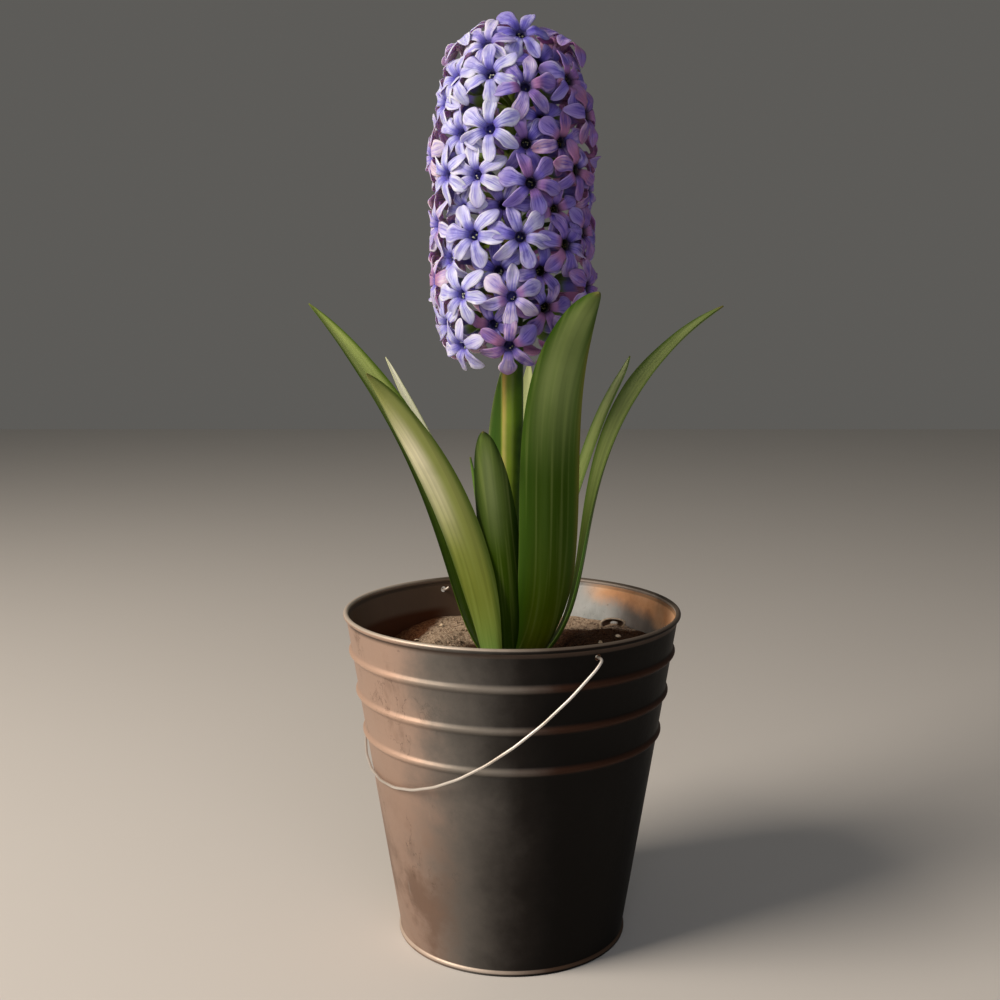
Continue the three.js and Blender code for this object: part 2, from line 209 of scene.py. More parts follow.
class Paint:
    def __init__(self, name, roughness=0.5, metallic=0.0, specular=0.5):
        self.material = bpy.data.materials.new(name)
        self.material.use_nodes = True
        self.tree = self.material.node_tree
        self.shader = self.tree.nodes["Principled BSDF"].inputs
        self.feed("Roughness", roughness)
        self.feed("Metallic", metallic)
        self.feed("Specular IOR Level", specular)

    def link(self, socket, value):
        if isinstance(value, Value):
            self.tree.links.new(value.socket, socket)
        else:
            socket.default_value = colour(value) if isinstance(value, str) else value

    def feed(self, label, value):  # one of the shader's inputs
        self.link(self.shader[label], value)

    def node(self, kind, output, inputs=None, **settings):
        made = self.tree.nodes.new(kind)
        for label, value in settings.items():
            setattr(made, label, value)
        for label, value in (inputs or {}).items():
            self.link(made.inputs[label], value)
        return Value(self, made.outputs[output])

    def attribute(self, label):
        return self.node("ShaderNodeAttribute", "Fac", attribute_name=label)

    def place(self, scale=(1, 1, 1), turn=(0, 0, 0)):
        spot = self.node("ShaderNodeTexCoord", "Object")
        return self.node("ShaderNodeMapping", "Vector", {"Vector": spot, "Scale": scale, "Rotation": turn})

    def axes(self):  # object coordinates as three values, in metres
        spot = self.node("ShaderNodeTexCoord", "Object")
        return [self.node("ShaderNodeSeparateXYZ", axis, {0: spot}) for axis in range(3)]

    def vector(self, x, y, z):
        return self.node("ShaderNodeCombineXYZ", 0, {0: x, 1: y, 2: z})

    def noise(self, vector, scale, detail=3.0, rough=0.55):
        inputs = {"Vector": vector, "Scale": scale, "Detail": detail, "Roughness": rough}
        return self.node("ShaderNodeTexNoise", "Fac", inputs)

    def maths(self, operation, a, b=0.0):
        return self.node("ShaderNodeMath", 0, {0: a, 1: b}, operation=operation)

    def bump(self, height, strength, distance):
        inputs = {"Strength": strength, "Distance": distance, "Height": height}
        self.feed("Normal", self.node("ShaderNodeBump", "Normal", inputs))

    def finish(self, base, rough=None):
        self.feed("Base Color", base)
        if rough is not None:
            self.feed("Roughness", rough)
        return self.material


# Geometry Nodes trees

def newTree(name, inputs):
    tree = bpy.data.node_groups.new(name, "GeometryNodeTree")
    tree.interface.new_socket("Geometry", in_out="INPUT", socket_type="NodeSocketGeometry")
    for label, kind, value in inputs:
        socket = tree.interface.new_socket(label, in_out="INPUT", socket_type=kind)
        if value is not None:
            socket.default_value = value
    tree.interface.new_socket("Geometry", in_out="OUTPUT", socket_type="NodeSocketGeometry")
    source = tree.nodes.new("NodeGroupInput")
    result = tree.nodes.new("NodeGroupOutput")
    return tree, source.outputs, result.inputs["Geometry"]


def chain(tree, kind, links, settings=None, values=None):
    made = tree.nodes.new(kind)
    for label, value in (settings or {}).items():
        setattr(made, label, value)
    for label, value in (values or {}).items():
        made.inputs[label].default_value = value
    for label, source in links.items():
        tree.links.new(source, made.inputs[label])
    return made


def runTree(name, source, tree, values):  # the tree's result as a plain mesh
    modifier = source.modifiers.new("tree", "NODES")
    modifier.node_group = tree
    for item in tree.interface.items_tree:
        if item.in_out == "INPUT" and item.name in values:
            modifier[item.identifier] = values[item.name]
    mesh = evaluated(source)
    bpy.data.objects.remove(source)
    mesh.name = name
    return addObject(name, mesh)


def tubeTree():  # a round tube along each path of joined points
    tree, given, result = newTree("tubeAlongPath", [
        ("Radius", "NodeSocketFloat", 0.001),
        ("Sides", "NodeSocketInt", 12),
        ("Material", "NodeSocketMaterial", None),
    ])
    path = chain(tree, "GeometryNodeMeshToCurve", {"Mesh": given["Geometry"]})
    section = chain(tree, "GeometryNodeCurvePrimitiveCircle",
                    {"Radius": given["Radius"], "Resolution": given["Sides"]})
    tube = chain(tree, "GeometryNodeCurveToMesh",
                 {"Curve": path.outputs[0], "Profile Curve": section.outputs["Curve"]},
                 values={"Fill Caps": True})
    whole = chain(tree, "GeometryNodeRealizeInstances", {"Geometry": tube.outputs[0]})
    painted = chain(tree, "GeometryNodeSetMaterial",
                    {"Geometry": whole.outputs[0], "Material": given["Material"]})
    tree.links.new(painted.outputs[0], result)
    return tree


def scatterTree():  # one of the shapes on each point, turned and sized by the point's own values
    tree, given, result = newTree("shapeOnPoints", [
        ("Shapes", "NodeSocketCollection", None),
        ("Material", "NodeSocketMaterial", None),
    ])
    shapes = chain(tree, "GeometryNodeCollectionInfo", {"Collection": given["Shapes"]},
                   values={"Separate Children": True, "Reset Children": True})
    turn, size, kind = (
        chain(tree, "GeometryNodeInputNamedAttribute", {}, {"data_type": sort}, {"Name": label})
        for label, sort in (("turn", "FLOAT_VECTOR"), ("size", "FLOAT_VECTOR"), ("kind", "INT")))
    euler = chain(tree, "FunctionNodeEulerToRotation", {"Euler": turn.outputs["Attribute"]})
    placed = chain(tree, "GeometryNodeInstanceOnPoints", {
        "Points": given["Geometry"], "Instance": shapes.outputs[0], "Rotation": euler.outputs[0],
        "Scale": size.outputs["Attribute"], "Instance Index": kind.outputs["Attribute"],
    }, values={"Pick Instance": True})
    whole = chain(tree, "GeometryNodeRealizeInstances", {"Geometry": placed.outputs[0]})
    painted = chain(tree, "GeometryNodeSetMaterial",
                    {"Geometry": whole.outputs[0], "Material": given["Material"]})
    tree.links.new(painted.outputs[0], result)
    return tree


def pathObject(paths):  # points joined by edges, one path after another
    points, edges = [], []
    for path in paths:
        first = len(points)
        points += [tuple(c * mm for c in point) for point in path]
        edges += [(i, i + 1) for i in range(first, len(points) - 1)]
    mesh = bpy.data.meshes.new("paths")
    mesh.from_pydata(points, edges, [])
    return addObject("paths", mesh)


def tubes(name, paths, radius, sides, material):
    piece = runTree(name, pathObject(paths), tubeAlongPath,
                    {"Radius": radius * mm, "Sides": sides, "Material": material})
    faceOut(piece)
    return piece


def scatter(name, places, shapes, material):
    # places are (point, rotation, size, kind, further values) and shapes are made objects
    shelf = bpy.data.collections.new(name + "Shapes")
    for shape in shapes:
        bpy.context.scene.collection.objects.unlink(shape)
        shelf.objects.link(shape)
    mesh = bpy.data.meshes.new("places")
    mesh.from_pydata([tuple(c * mm for c in place[0]) for place in places], [], [])
    turns = [value for place in places for value in place[1].to_euler()]
    sizes = [value for place in places for value in (place[2],) * 3]
    setValues(mesh, "turn", turns, "FLOAT_VECTOR", "vector")
    setValues(mesh, "size", sizes, "FLOAT_VECTOR", "vector")
    setValues(mesh, "kind", [place[3] for place in places], "INT")
    for label in places[0][4]:
        setValues(mesh, label, [place[4][label] for place in places])
    piece = runTree(name, addObject("places", mesh), shapeOnPoints, {"Shapes": shelf, "Material": material})
    for shape in shapes:
        bpy.data.objects.remove(shape)
    bpy.data.collections.remove(shelf)
    return piece


tubeAlongPath = tubeTree()
shapeOnPoints = scatterTree()


# A closed blade: rings of points from foot to tip, with one point to end on

def ringSteps(count):  # across from -1 to 1 on the face, and back on the rear
    face = [(-1 + 2 * i / count, 1) for i in range(count + 1)]
    rear = [(1 - 2 * i / count, -1) for i in range(1, count)]
    return face + rear


def bladeFaces(rings, size, first=0):
    faces = [tuple(first + i for i in reversed(range(size)))]
    for k in range(rings - 1):
        low = first + k * size
        for i in range(size):
            j = (i + 1) % size
            faces.append((low + i, low + j, low + size + j, low + size + i))
    tip = first + rings * size
    last = tip - size
    return faces + [(last + i, last + (i + 1) % size, tip) for i in range(size)]


# Bucket: the rows are heights of rings of points, which lie close together round the bail's holes

bucket = {
    "height": 168, "footRadius": 57, "topRadius": 83.6, "sheet": 1,
    "beadRadius": 1.25, "beadCentre": 83.4, "beadGap": 0.4, "beadFrom": -62, "beadSweep": 304,
    "ringRadius": 58.4, "ringHeight": 2.6, "ringRoll": 0.6, "ledgeRadius": 54, "ledgeTop": 4, "bevel": 0.3,
    "ridges": (107.5, 128, 148.2), "ridgeRise": 1.6, "ridgeHalf": 2.9,
    "sides": 180, "holeRadius": 1.6, "drillLength": 12,
    "outsideRows": (153, 156, 158, 160, 161.5, 163),
    "insideRows": (163, 161.5, 160, 158, 155, 150, 130, 100, 50),
}
bail = {
    "azimuth": 117.5, "height": 161.5, "wire": 0.68, "halfSpan": 87.7, "depth": 102.4, "hang": 45,
    "hookFrom": 78.6, "hookLength": 2.4, "hookBend": 1.4, "shoulder": 2.6, "corner": 0.9, "bend": 3,
}
# Where the wall's paint changes, as (none of it, all of it): heights in metres, azimuths in radians.
# The ridges are counted in steps of ridgePitch from ridgesFrom, each with its crown at ridgeMiddle.
wallMarks = {
    "lowStain": (0.1, 0.03), "lowBody": (0.12, 0.03), "lowestRidge": (0.099, 0.103),
    "ridgesFrom": 0.0972, "ridgePitch": 0.02035, "ridgeMiddle": 0.52,
    "footOver": (0.003, 0.0026), "footUnder": (0.001, 0.0017),
    "splash": (0.1535, 0.1495), "underRimShade": (0.1635, 0.1645), "rimInsideHighlight": (0.1652, 0.166),
    "lipHighlight": (0.1668, 0.1674), "litFrom": (-0.5, -0.2), "litTo": (1.1, 0.86), "umber": (0.95, 0.55),
}


def wallRadius(height):
    return lerp(bucket["footRadius"], bucket["topRadius"], height / bucket["height"])


def leftShare(paint, x, y, cloud):  # 1 at the wall's lit left and -1 opposite, with ragged borders
    radius = paint.maths("SQRT", x * x + y * y)
    left = y * -0.34 + x * -0.94
    left = left / radius
    return (cloud - 0.5) * 0.5 + left


def outsidePaint(paint, x, y, z, cloud, stain, left):
    scuff = paint.noise(paint.place((1, 1, 7)), 90, 3, 0.5)
    scratch = paint.noise(paint.place((1, 1, 0.12), (0.5, 0.3, 0)), 330, 2, 0.5)
    warm = cloud * 0.9 + x.span(0.0, -0.07, 0, 0.6)
    warm = warm.span(0.35, 0.95)
    outer = warm.mix("#776e67", "#b09686")
    outer = stain.span(0.52, 0.72, 0, 0.5).mix(outer, "#755e4f")
    low = z.span(*wallMarks["lowStain"]) * cloud.span(0.4, 0.56) * 0.6
    outer = low.mix(outer, "#5d4434")
    outer = scuff.span(0.6, 0.8, 0, 0.2).mix(outer, "#8a8178")
    outer = scratch.span(0.7, 0.78, 0, 0.3).mix(outer, "#b3aaa0")
    crack = paint.noise(paint.place((1, 1, 0.6)), 75, 5, 0.6)
    crack = abs(crack - 0.5).span(0.012, 0.003)
    crack = crack * stain.span(0.48, 0.56, 0, 0.4)
    outer = crack.mix(outer, "#3c2c22")
    outer = left.span(0.95, 0.6, 0, 0.85).mix(outer, "#7a7873")
    outer = z.span(*wallMarks["lowBody"], 0, 0.22).mix(outer, "#3a3029")
    # The wall away from the light is painted near black, a little lighter towards the back: painted shade.
    awayShade = left.span(0.36, 0.08).mix("#18130f", "#0b0806")
    awayShade = y.span(-0.03, 0.03).mix(awayShade, "#4a433d")
    outer = left.span(0.92, 0.24, 0, 0.98).mix(outer, awayShade)
    ridge = z - wallMarks["ridgesFrom"]
    ridge = ridge / wallMarks["ridgePitch"]
    ridge = abs(ridge.fraction() - wallMarks["ridgeMiddle"])
    ridge = ridge.span(0.13, 0.03) * z.span(*wallMarks["lowestRidge"]) * 0.5
    # The ridge crowns carry a painted highlight: pale on the lit left, grey in the middle and dull copper
    # away from the light.
    ridgeHighlight = left.span(0.0, 0.45).mix("#4a2e20", "#8f887e")
    ridgeHighlight = left.span(0.6, 0.95).mix(ridgeHighlight, "#d0b09a")
    outer = ridge.mix(outer, ridgeHighlight)
    # A painted highlight along the foot ring's lower edge, bright on the lit left and dark brown away from
    # it.
    foot = z.span(*wallMarks["footOver"]) * z.span(*wallMarks["footUnder"]) * 0.6
    return foot.mix(outer, left.span(0.0, 0.6).mix("#5a4638", "#e0d0c0"))


def insidePaint(paint, x, y, z, cloud, stain, grain):
    turn = paint.maths("ARCTAN2", y, x)
    lit = turn.span(*wallMarks["litTo"]) * turn.span(*wallMarks["litFrom"])
    level = turn * -0.009 + (cloud * 0.03 + z)
    lit = lit * level.span(0.158, 0.169)
    inner = stain.span(0.4, 0.7).mix("#b9bebe", "#8e9494")
    inner = grain.span(0.62, 0.72, 0, 0.5).mix(inner, "#6d6f6c")
    umber = turn.span(*wallMarks["umber"]) * 0.6
    inner = umber.mix(inner, "#6b5548")
    inner = lit.mix(inner, cloud.span(0.3, 0.6).mix("#cf9060", "#eebf96"))
    brown = paint.maths("MAXIMUM", x.span(0.005, -0.03), y.span(0.0, -0.04))
    inner = brown.mix(inner, cloud.mix("#54463d", "#705c4e"))
    splash = z.span(*wallMarks["splash"]) * x.span(-0.03, -0.045)
    inner = splash.mix(inner, "#4a2817")
    # Just under the bead the inside is painted darker: painted shade.
    inner = z.span(*wallMarks["underRimShade"], 0, 0.5).mix(inner, "#2a211c")
    # The bead's inner top carries a painted highlight, dimmer on the left and front.
    return z.span(*wallMarks["rimInsideHighlight"]).mix(inner, brown.mix("#b4aaa0", "#8f7f72"))


def bucketPaint():
    paint = Paint("agedZinc", metallic=0.4, specular=0.15)
    x, y, z = paint.axes()
    cloud = paint.noise(paint.place(), 22, 6, 0.62)
    stain = paint.noise(paint.place((1, 1, 0.5)), 48, 6, 0.65)
    grain = paint.noise(paint.place(), 420, 4, 0.6)
    left = leftShare(paint, x, y, cloud)
    # Metallic and specular fall on the side away from the light, so it reflects little there: painted
    # shade.
    paint.feed("Metallic", left.span(0.9, 0.2, 0.4, 0.05))
    paint.feed("Specular IOR Level", left.span(0.5, 0.0, 0.15, 0.05))
    outer = outsidePaint(paint, x, y, z, cloud, stain, left)
    inner = insidePaint(paint, x, y, z, cloud, stain, grain)
    base = paint.attribute("inside").mix(outer, inner)
    # The bead's top edge carries a painted highlight, bright on the lit left.
    lipHighlight = left.span(0.1, 0.7).mix("#5a5148", "#c4b8aa")
    base = z.span(*wallMarks["lipHighlight"]).mix(base, lipHighlight)
    paint.bump(grain * 0.25 + cloud, 0.25, 0.0012)
    return paint.finish(base, stain * 0.25 + 0.36)


def bucketProfile():
    top = bucket["height"] - bucket["beadRadius"]
    ring, high, ledge = bucket["ringRadius"], bucket["ringHeight"], bucket["ledgeRadius"]
    bevel, roll = bucket["bevel"], bucket["ringRoll"]
    outside = [(ledge, bevel), (ledge + bevel, 0), (ring - roll, 0)]
    for step in range(1, 6):  # the rolled foot ring
        angle = math.radians(-90 + 36 * step)
        outside.append((ring - roll + roll * math.cos(angle), high / 2 + (high / 2) * math.sin(angle)))
    outside += [(wallRadius(high) + 0.25, high + 0.15), (wallRadius(high + 0.6), high + 0.6)]
    for centre in bucket["ridges"]:
        for step in range(-6, 7):
            height = centre + bucket["ridgeHalf"] * step / 6
            rise = bucket["ridgeRise"] * math.cos(math.pi * step / 12) ** 2
            outside.append((wallRadius(height) + rise, height))
    low = top - bucket["beadRadius"] - bucket["beadGap"]
    outside += [(wallRadius(height), height) for height in (*bucket["outsideRows"], low)]
    bead = []
    for step in range(19):
        angle = math.radians(bucket["beadFrom"] + bucket["beadSweep"] * step / 18)
        bead.append((bucket["beadCentre"] + bucket["beadRadius"] * math.cos(angle),
                     top + bucket["beadRadius"] * math.sin(angle)))
    inside = [(wallRadius(height) - bucket["sheet"], height)
              for height in (low, *bucket["insideRows"], bucket["ledgeTop"])]
    return outside + bead + inside + [(ledge, bucket["ledgeTop"])]


def makeBucket():
    profile = bucketProfile()
    points, faces = turnedShape(profile, bucket["sides"], loop=True)
    wall = makePiece("bucketWall", points, faces, bucketPaint())
    for side in (-1, 1):  # the bail's two holes
        centre = outwardAt(bail["azimuth"]) * side * wallRadius(bail["height"]) + up * bail["height"]
        bpy.ops.mesh.primitive_cylinder_add(
            radius=bucket["holeRadius"] * mm, depth=bucket["drillLength"] * mm, vertices=32)
        drill = bpy.context.object
        aim = up.rotation_difference(outwardAt(bail["azimuth"])).to_matrix().to_4x4()
        drill.matrix_world = Matrix.Translation(centre * mm) @ aim
        cut = wall.modifiers.new("hole", "BOOLEAN")
        cut.operation = "DIFFERENCE"
        cut.solver = "EXACT"
        cut.object = drill
    mesh = evaluated(wall)
    wall.modifiers.clear()
    wall.data = mesh
    for drill in [piece for piece in bpy.data.objects if piece.name.startswith("Cylinder")]:
        bpy.data.objects.remove(drill)
    inside = []
    beadFoot = bucket["height"] - 3.5
    for vertex in mesh.vertices:  # 0 on the outer skin, 1 on the inner one
        radius = math.hypot(vertex.co.x, vertex.co.y) / mm
        height = vertex.co.z / mm
        edge = bucket["beadCentre"] if height > beadFoot else wallRadius(height) - bucket["sheet"] / 2
        inside.append(1.0 if radius < edge and height > 0.4 else 0.0)
    setValues(mesh, "inside", inside)
    sharpen(wall, 50)
    seat(wall, "bucket", "bucket_metal", "bucket_wall")


def makeBottom():
    paint = Paint("bottomZinc", metallic=0.85)
    stain = paint.noise(paint.place(), 45, 5, 0.6)
    base = stain.span(0.35, 0.7).mix("#5f5a55", "#8c8781")
    paint.bump(paint.noise(paint.place(), 300, 4), 0.3, 0.0006)
    material = paint.finish(base, stain * 0.25 + 0.35)
    low, high = (corner.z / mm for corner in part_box("bucket_bottom"))
    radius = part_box("bucket_bottom")[1].x / mm
    profile = [(0, low), (radius * 0.72, low), (radius * 0.76, low + 0.25), (radius - 0.3, low + 0.25),
               (radius, low + 0.4), (radius, high - 0.2), (radius - 0.2, high), (0, high)]
    points, faces = turnedShape(profile, 120)
    bottom = makePiece("bucketBottom", points, faces, material)
    sharpen(bottom, 40)
    seat(bottom, "bucket", "bucket_metal", "bucket_bottom")


# Curves

def curveThrough(controls, steps):  # a centripetal curve through all the points
    ends = [controls[0] * 2 - controls[1], *controls, controls[-1] * 2 - controls[-2]]
    path = []
    for k in range(1, len(ends) - 2):
        p = ends[k - 1:k + 3]
        t = [0.0]
        for a, b in zip(p, p[1:]):
            t.append(t[-1] + max((b - a).length, 1e-6) ** 0.5)
        for step in range(steps):
            x = lerp(t[1], t[2], step / steps)
            first = [p[i].lerp(p[i + 1], (x - t[i]) / (t[i + 1] - t[i])) for i in range(3)]
            second = [first[i].lerp(first[i + 1], (x - t[i]) / (t[i + 2] - t[i])) for i in range(2)]
            path.append(second[0].lerp(second[1], (x - t[1]) / (t[2] - t[1])))
    path.append(controls[-1])
    return path


def bentThrough(controls, radius):  # straight stretches with a short bend at each point
    path = [controls[0]]
    for before, corner, after in zip(controls, controls[1:], controls[2:]):
        start = corner + (before - corner).normalized() * min(radius, (before - corner).length * 0.45)
        end = corner + (after - corner).normalized() * min(radius, (after - corner).length * 0.45)
        for share in (0, 0.2, 0.4, 0.6, 0.8, 1):
            path.append(start.lerp(corner, share).lerp(corner.lerp(end, share), share))
    path.append(controls[-1])
    return path


# Bail

def makeBail():
    hook, bend, span, corner = bail["hookFrom"], bail["hookBend"], bail["halfSpan"], bail["corner"]
    half = [(hook, -bail["hookLength"]), (hook, -bend), (hook + bend, 0),
            (span - bail["shoulder"], 0), (span - corner, corner)]
    for step in range(9):
        angle = math.radians(3 + 87 * step / 9)
        half.append((span * math.cos(angle), bail["depth"] * math.sin(angle)))
    flat = half + [(0, bail["depth"])] + [(-x, y) for x, y in reversed(half)]
    path = bentThrough([Vector((x, y, 0)) for x, y in flat], bail["bend"])
    turn = Matrix.Rotation(math.radians(bail["azimuth"]), 3, "Z")
    hang = Matrix.Rotation(-math.radians(bail["hang"]), 3, "X")
    placed = [turn @ (hang @ point) + up * bail["height"] for point in path]
    paint = Paint("brightWire", metallic=0.7)
    wear = paint.noise(paint.place(), 60, 2, 0.5)
    base = wear.span(0.45, 0.75).mix("#dcd6ce", "#beb4a8")
    material = paint.finish(base, wear * 0.1 + 0.42)
    wire = tubes("bailWire", [placed], bail["wire"], 14, material)
    sharpen(wire, 60)
    seat(wire, "bail", "bail_wire", "bail")


# Soil

soil = {
    "level": 146.4, "leftDrop": 8.5, "leftAzimuth": 185, "leftSpread": 45, "dipReach": 24,
    "mouthRadius": 23.4, "mouthHeight": 134.6, "lumps": 0.5, "wallGap": 0.3,
    "pocketGap": 0.6, "pocketDepth": 18, "pocketRadius": 13, "wallRows": (130, 60),
    "sides": 260, "rings": 84, "grain": 0.75, "calmFrom": 24, "calmTo": 77.5,
    "crumbs": 2600, "crumbKinds": 6, "crumbFrom": 26, "crumbTo": 76, "crumbEdge": 76.5, "seed": 4,
}
bulbOutline = [
    (0, 95.5), (9, 95.5), (12.5, 97), (20, 101.5), (25.4, 108), (27.8, 117),
    (27, 125.5), (23.9, 132.5), (19.6, 138), (17.6, 141), (20.2, 145.2), (19.3, 145.5),
]


def soilTop(x, y):
    radius = math.hypot(x, y)
    azimuth = math.degrees(math.atan2(y, x))
    fromLeft = abs((azimuth - soil["leftAzimuth"] + 540) % 360 - 180)
    left = smooth(1.5 - fromLeft / soil["leftSpread"]) * smooth((radius - 40) / 30)
    dip = 1 - smooth((radius - soil["mouthRadius"]) / soil["dipReach"])
    lump = math.sin(x / 7 + 1) * math.cos(y / 6) + 0.6 * math.sin(x / 3.1 - y / 4.3)
    level = soil["level"] - soil["leftDrop"] * left + soil["lumps"] * lump
    return lerp(level, soil["mouthHeight"], dip)


def soilRough(x, y):  # clods and grains, which fade out at the wall and at the bulb
    radius = math.hypot(x, y)
    calm = smooth((soil["calmTo"] - radius) / 4) * smooth((radius - soil["calmFrom"]) / 4)
    spot = Vector((x, y, 0))
    clods = noise.fractal(spot / 11, 0.9, 2.1, 3)
    grains = noise.noise(spot / 1.5) + 0.7 * noise.noise(spot / 0.7)
    return calm * soil["grain"] * (0.7 * clods + 0.6 * grains)


def soilPaint():
    paint = Paint("dryPottingSoil", roughness=0.95, specular=0.2)
    cloud = paint.noise(paint.place(), 40, 4, 0.6)
    grain = paint.noise(paint.place(), 700, 4, 0.65)
    fine = paint.noise(paint.place(), 1900, 3, 0.6)
    dry = grain.span(0.35, 0.65).mix("#927c68", "#c8b29a")
    darkSoil = grain.span(0.35, 0.7).mix("#2e190c", "#5a3c26")
    x, y, z = paint.axes()
    # Dark soil marks random damp patches and painted shade: on the low soil at the left and round the bulb,
    # in the leaves' shadow at the right front and in the left rim's shadow.
    dampAndShade = cloud.span(0.5, 0.75, 0, 0.5) + z.span(0.1445, 0.1385)
    leafShadow = cloud * 0.03 + y
    leafShadow = x.span(0.012, 0.03) * leafShadow.span(0.062, 0.052)
    rimShadow = y * -0.33 + (cloud * 0.016 + x)
    rimShadow = rimShadow.span(-0.05, -0.057)
    dampAndShade = dampAndShade + (leafShadow + rimShadow)
    dampAndShade = dampAndShade.span(0.2, 1.0)
    base = dampAndShade.mix(dry, darkSoil)
    base = grain.span(0.42, 0.3, 0, 0.7).mix(base, "#3b2a1e")
    # In the left rim's painted shadow the soil is also painted reddish brown.
    red = grain.span(0.35, 0.7).mix("#5a3018", "#8a5c3c")
    base = (rimShadow * 0.85).mix(base, red)
    fleck = fine.span(0.62, 0.72, 0, 0.7) * dampAndShade.span(1, 0, 0.15, 1)
    base = fleck.mix(base, "#e8dcc6")
    paint.bump(fine * 0.4 + grain, 1.0, 0.0013)
    return paint.finish(base)


def makeSoil():
    def inner(height):
        return wallRadius(height) - bucket["sheet"] - soil["wallGap"]

    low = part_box("soil")[0].z / mm
    gap, pocket, bulbFloor = soil["pocketGap"], soil["pocketRadius"], bulbOutline[0][1]
    rootFloor = bulbFloor - soil["pocketDepth"]
    profile = [(0, rootFloor), (pocket, rootFloor), (pocket + 2, bulbFloor - 6)]
    profile += [(r + gap, h - gap) for r, h in bulbOutline if r > 9 and h < soil["mouthHeight"]]
    start = soil["mouthRadius"] + 0.6
    rim = inner(soil["level"])
    rings = soil["rings"]
    firstTop = len(profile)
    profile += [(lerp(start, rim, i / rings), soil["level"]) for i in range(rings + 1)]
    lastTop = len(profile)
    profile += [(inner(height), height) for height in (*soil["wallRows"], low)] + [(0, low)]
    points, faces = turnedShape(profile, soil["sides"])
    lifted = []
    for number, (x, y, z) in enumerate(points):
        ring = 0 if number == 0 else 1 + (number - 1) // soil["sides"]
        if firstTop <= ring < lastTop:
            z = soilTop(x, y) + soilRough(x, y)
            inward = min(1.0, inner(z - 0.6) / math.hypot(x, y))
            x, y = x * inward, y * inward
        lifted.append((x, y, z))
    material = soilPaint()
    ground = makePiece("soilGround", lifted, faces, material)
    seat(ground, "bucket", "soil", "soil")
    makeCrumbs(material)
    makeBark()


def ballShape(name, radius, tall, generator=None):  # a faceted ball, dented if draws are given
    ball = bmesh.new()
    bmesh.ops.create_icosphere(ball, subdivisions=1, radius=radius * mm)
    for vertex in ball.verts:
        if generator:
            vertex.co *= generator.uniform(0.7, 1.25)
        vertex.co.z *= tall
    mesh = bpy.data.meshes.new(name)
    ball.to_mesh(mesh)
    ball.free()
    return addObject(name, mesh)


def makeCrumbs(material):
    generator = random.Random(soil["seed"])
    shapes = [ballShape("crumb%d" % i, 1.0, 0.7, generator) for i in range(soil["crumbKinds"])]
    places = []
    while len(places) < soil["crumbs"]:
        azimuth = generator.uniform(0, 360)
        radius = math.sqrt(generator.uniform(soil["crumbFrom"] ** 2, soil["crumbTo"] ** 2))
        size = 0.28 + 0.9 * generator.random() ** 5
        if radius + 1.3 * size > soil["crumbEdge"]:
            continue
        spot = outwardAt(azimuth) * radius
        spot.z = soilTop(spot.x, spot.y) + soilRough(spot.x, spot.y) + 0.15 * size
        turn = Quaternion([generator.gauss(0, 1) for _ in range(4)]).normalized()
        places.append((spot, turn, size, generator.randrange(soil["crumbKinds"]), {}))
    crumbs = scatter("soilCrumbs", places, shapes, material)
    seat(crumbs, "bucket", "soil", "soil")


# Curls of bark lying on the soil: azimuth, distance, half width and height of the curl, how long
# it is, the way its hollow faces, and where its sweep starts and ends
barkCurls = [
    (38.5, 71, 6.8, 3.4, 5.5, -100, -155, -25), (152, 57, 2.0, 1.5, 2.4, -70, -200, 60),
    (166, 50, 1.6, 1.3, 2.0, -120, -170, 40), (128, 62, 1.6, 1.1, 2.2, 20, -180, 30),
    (172, 42, 1.5, 1.2, 1.8, -60, -190, 50), (70, 58, 2.4, 1.3, 3.2, 150, -170, 20),
    (22, 60, 1.8, 1.0, 2.5, 40, -150, 10), (-30, 62, 2.2, 1.2, 2.8, 100, -170, 40),
    (-75, 60, 2.4, 1.3, 3.0, 10, -190, 20), (240, 64, 2.0, 1.2, 2.4, 70, -180, 30),
    (100, 66, 2.1, 1.3, 2.6, 120, -160, 20), (10, 46, 1.8, 1.2, 2.2, 15, -170, 30),
    (205, 58, 1.7, 1.2, 2.2, -40, -180, 40), (60, 44, 1.6, 1.1, 2.0, -100, -170, 30),
]
bark = {"steps": 18, "across": 4, "bed": 0.45, "swirl": 0.3, "closed": 0.3}


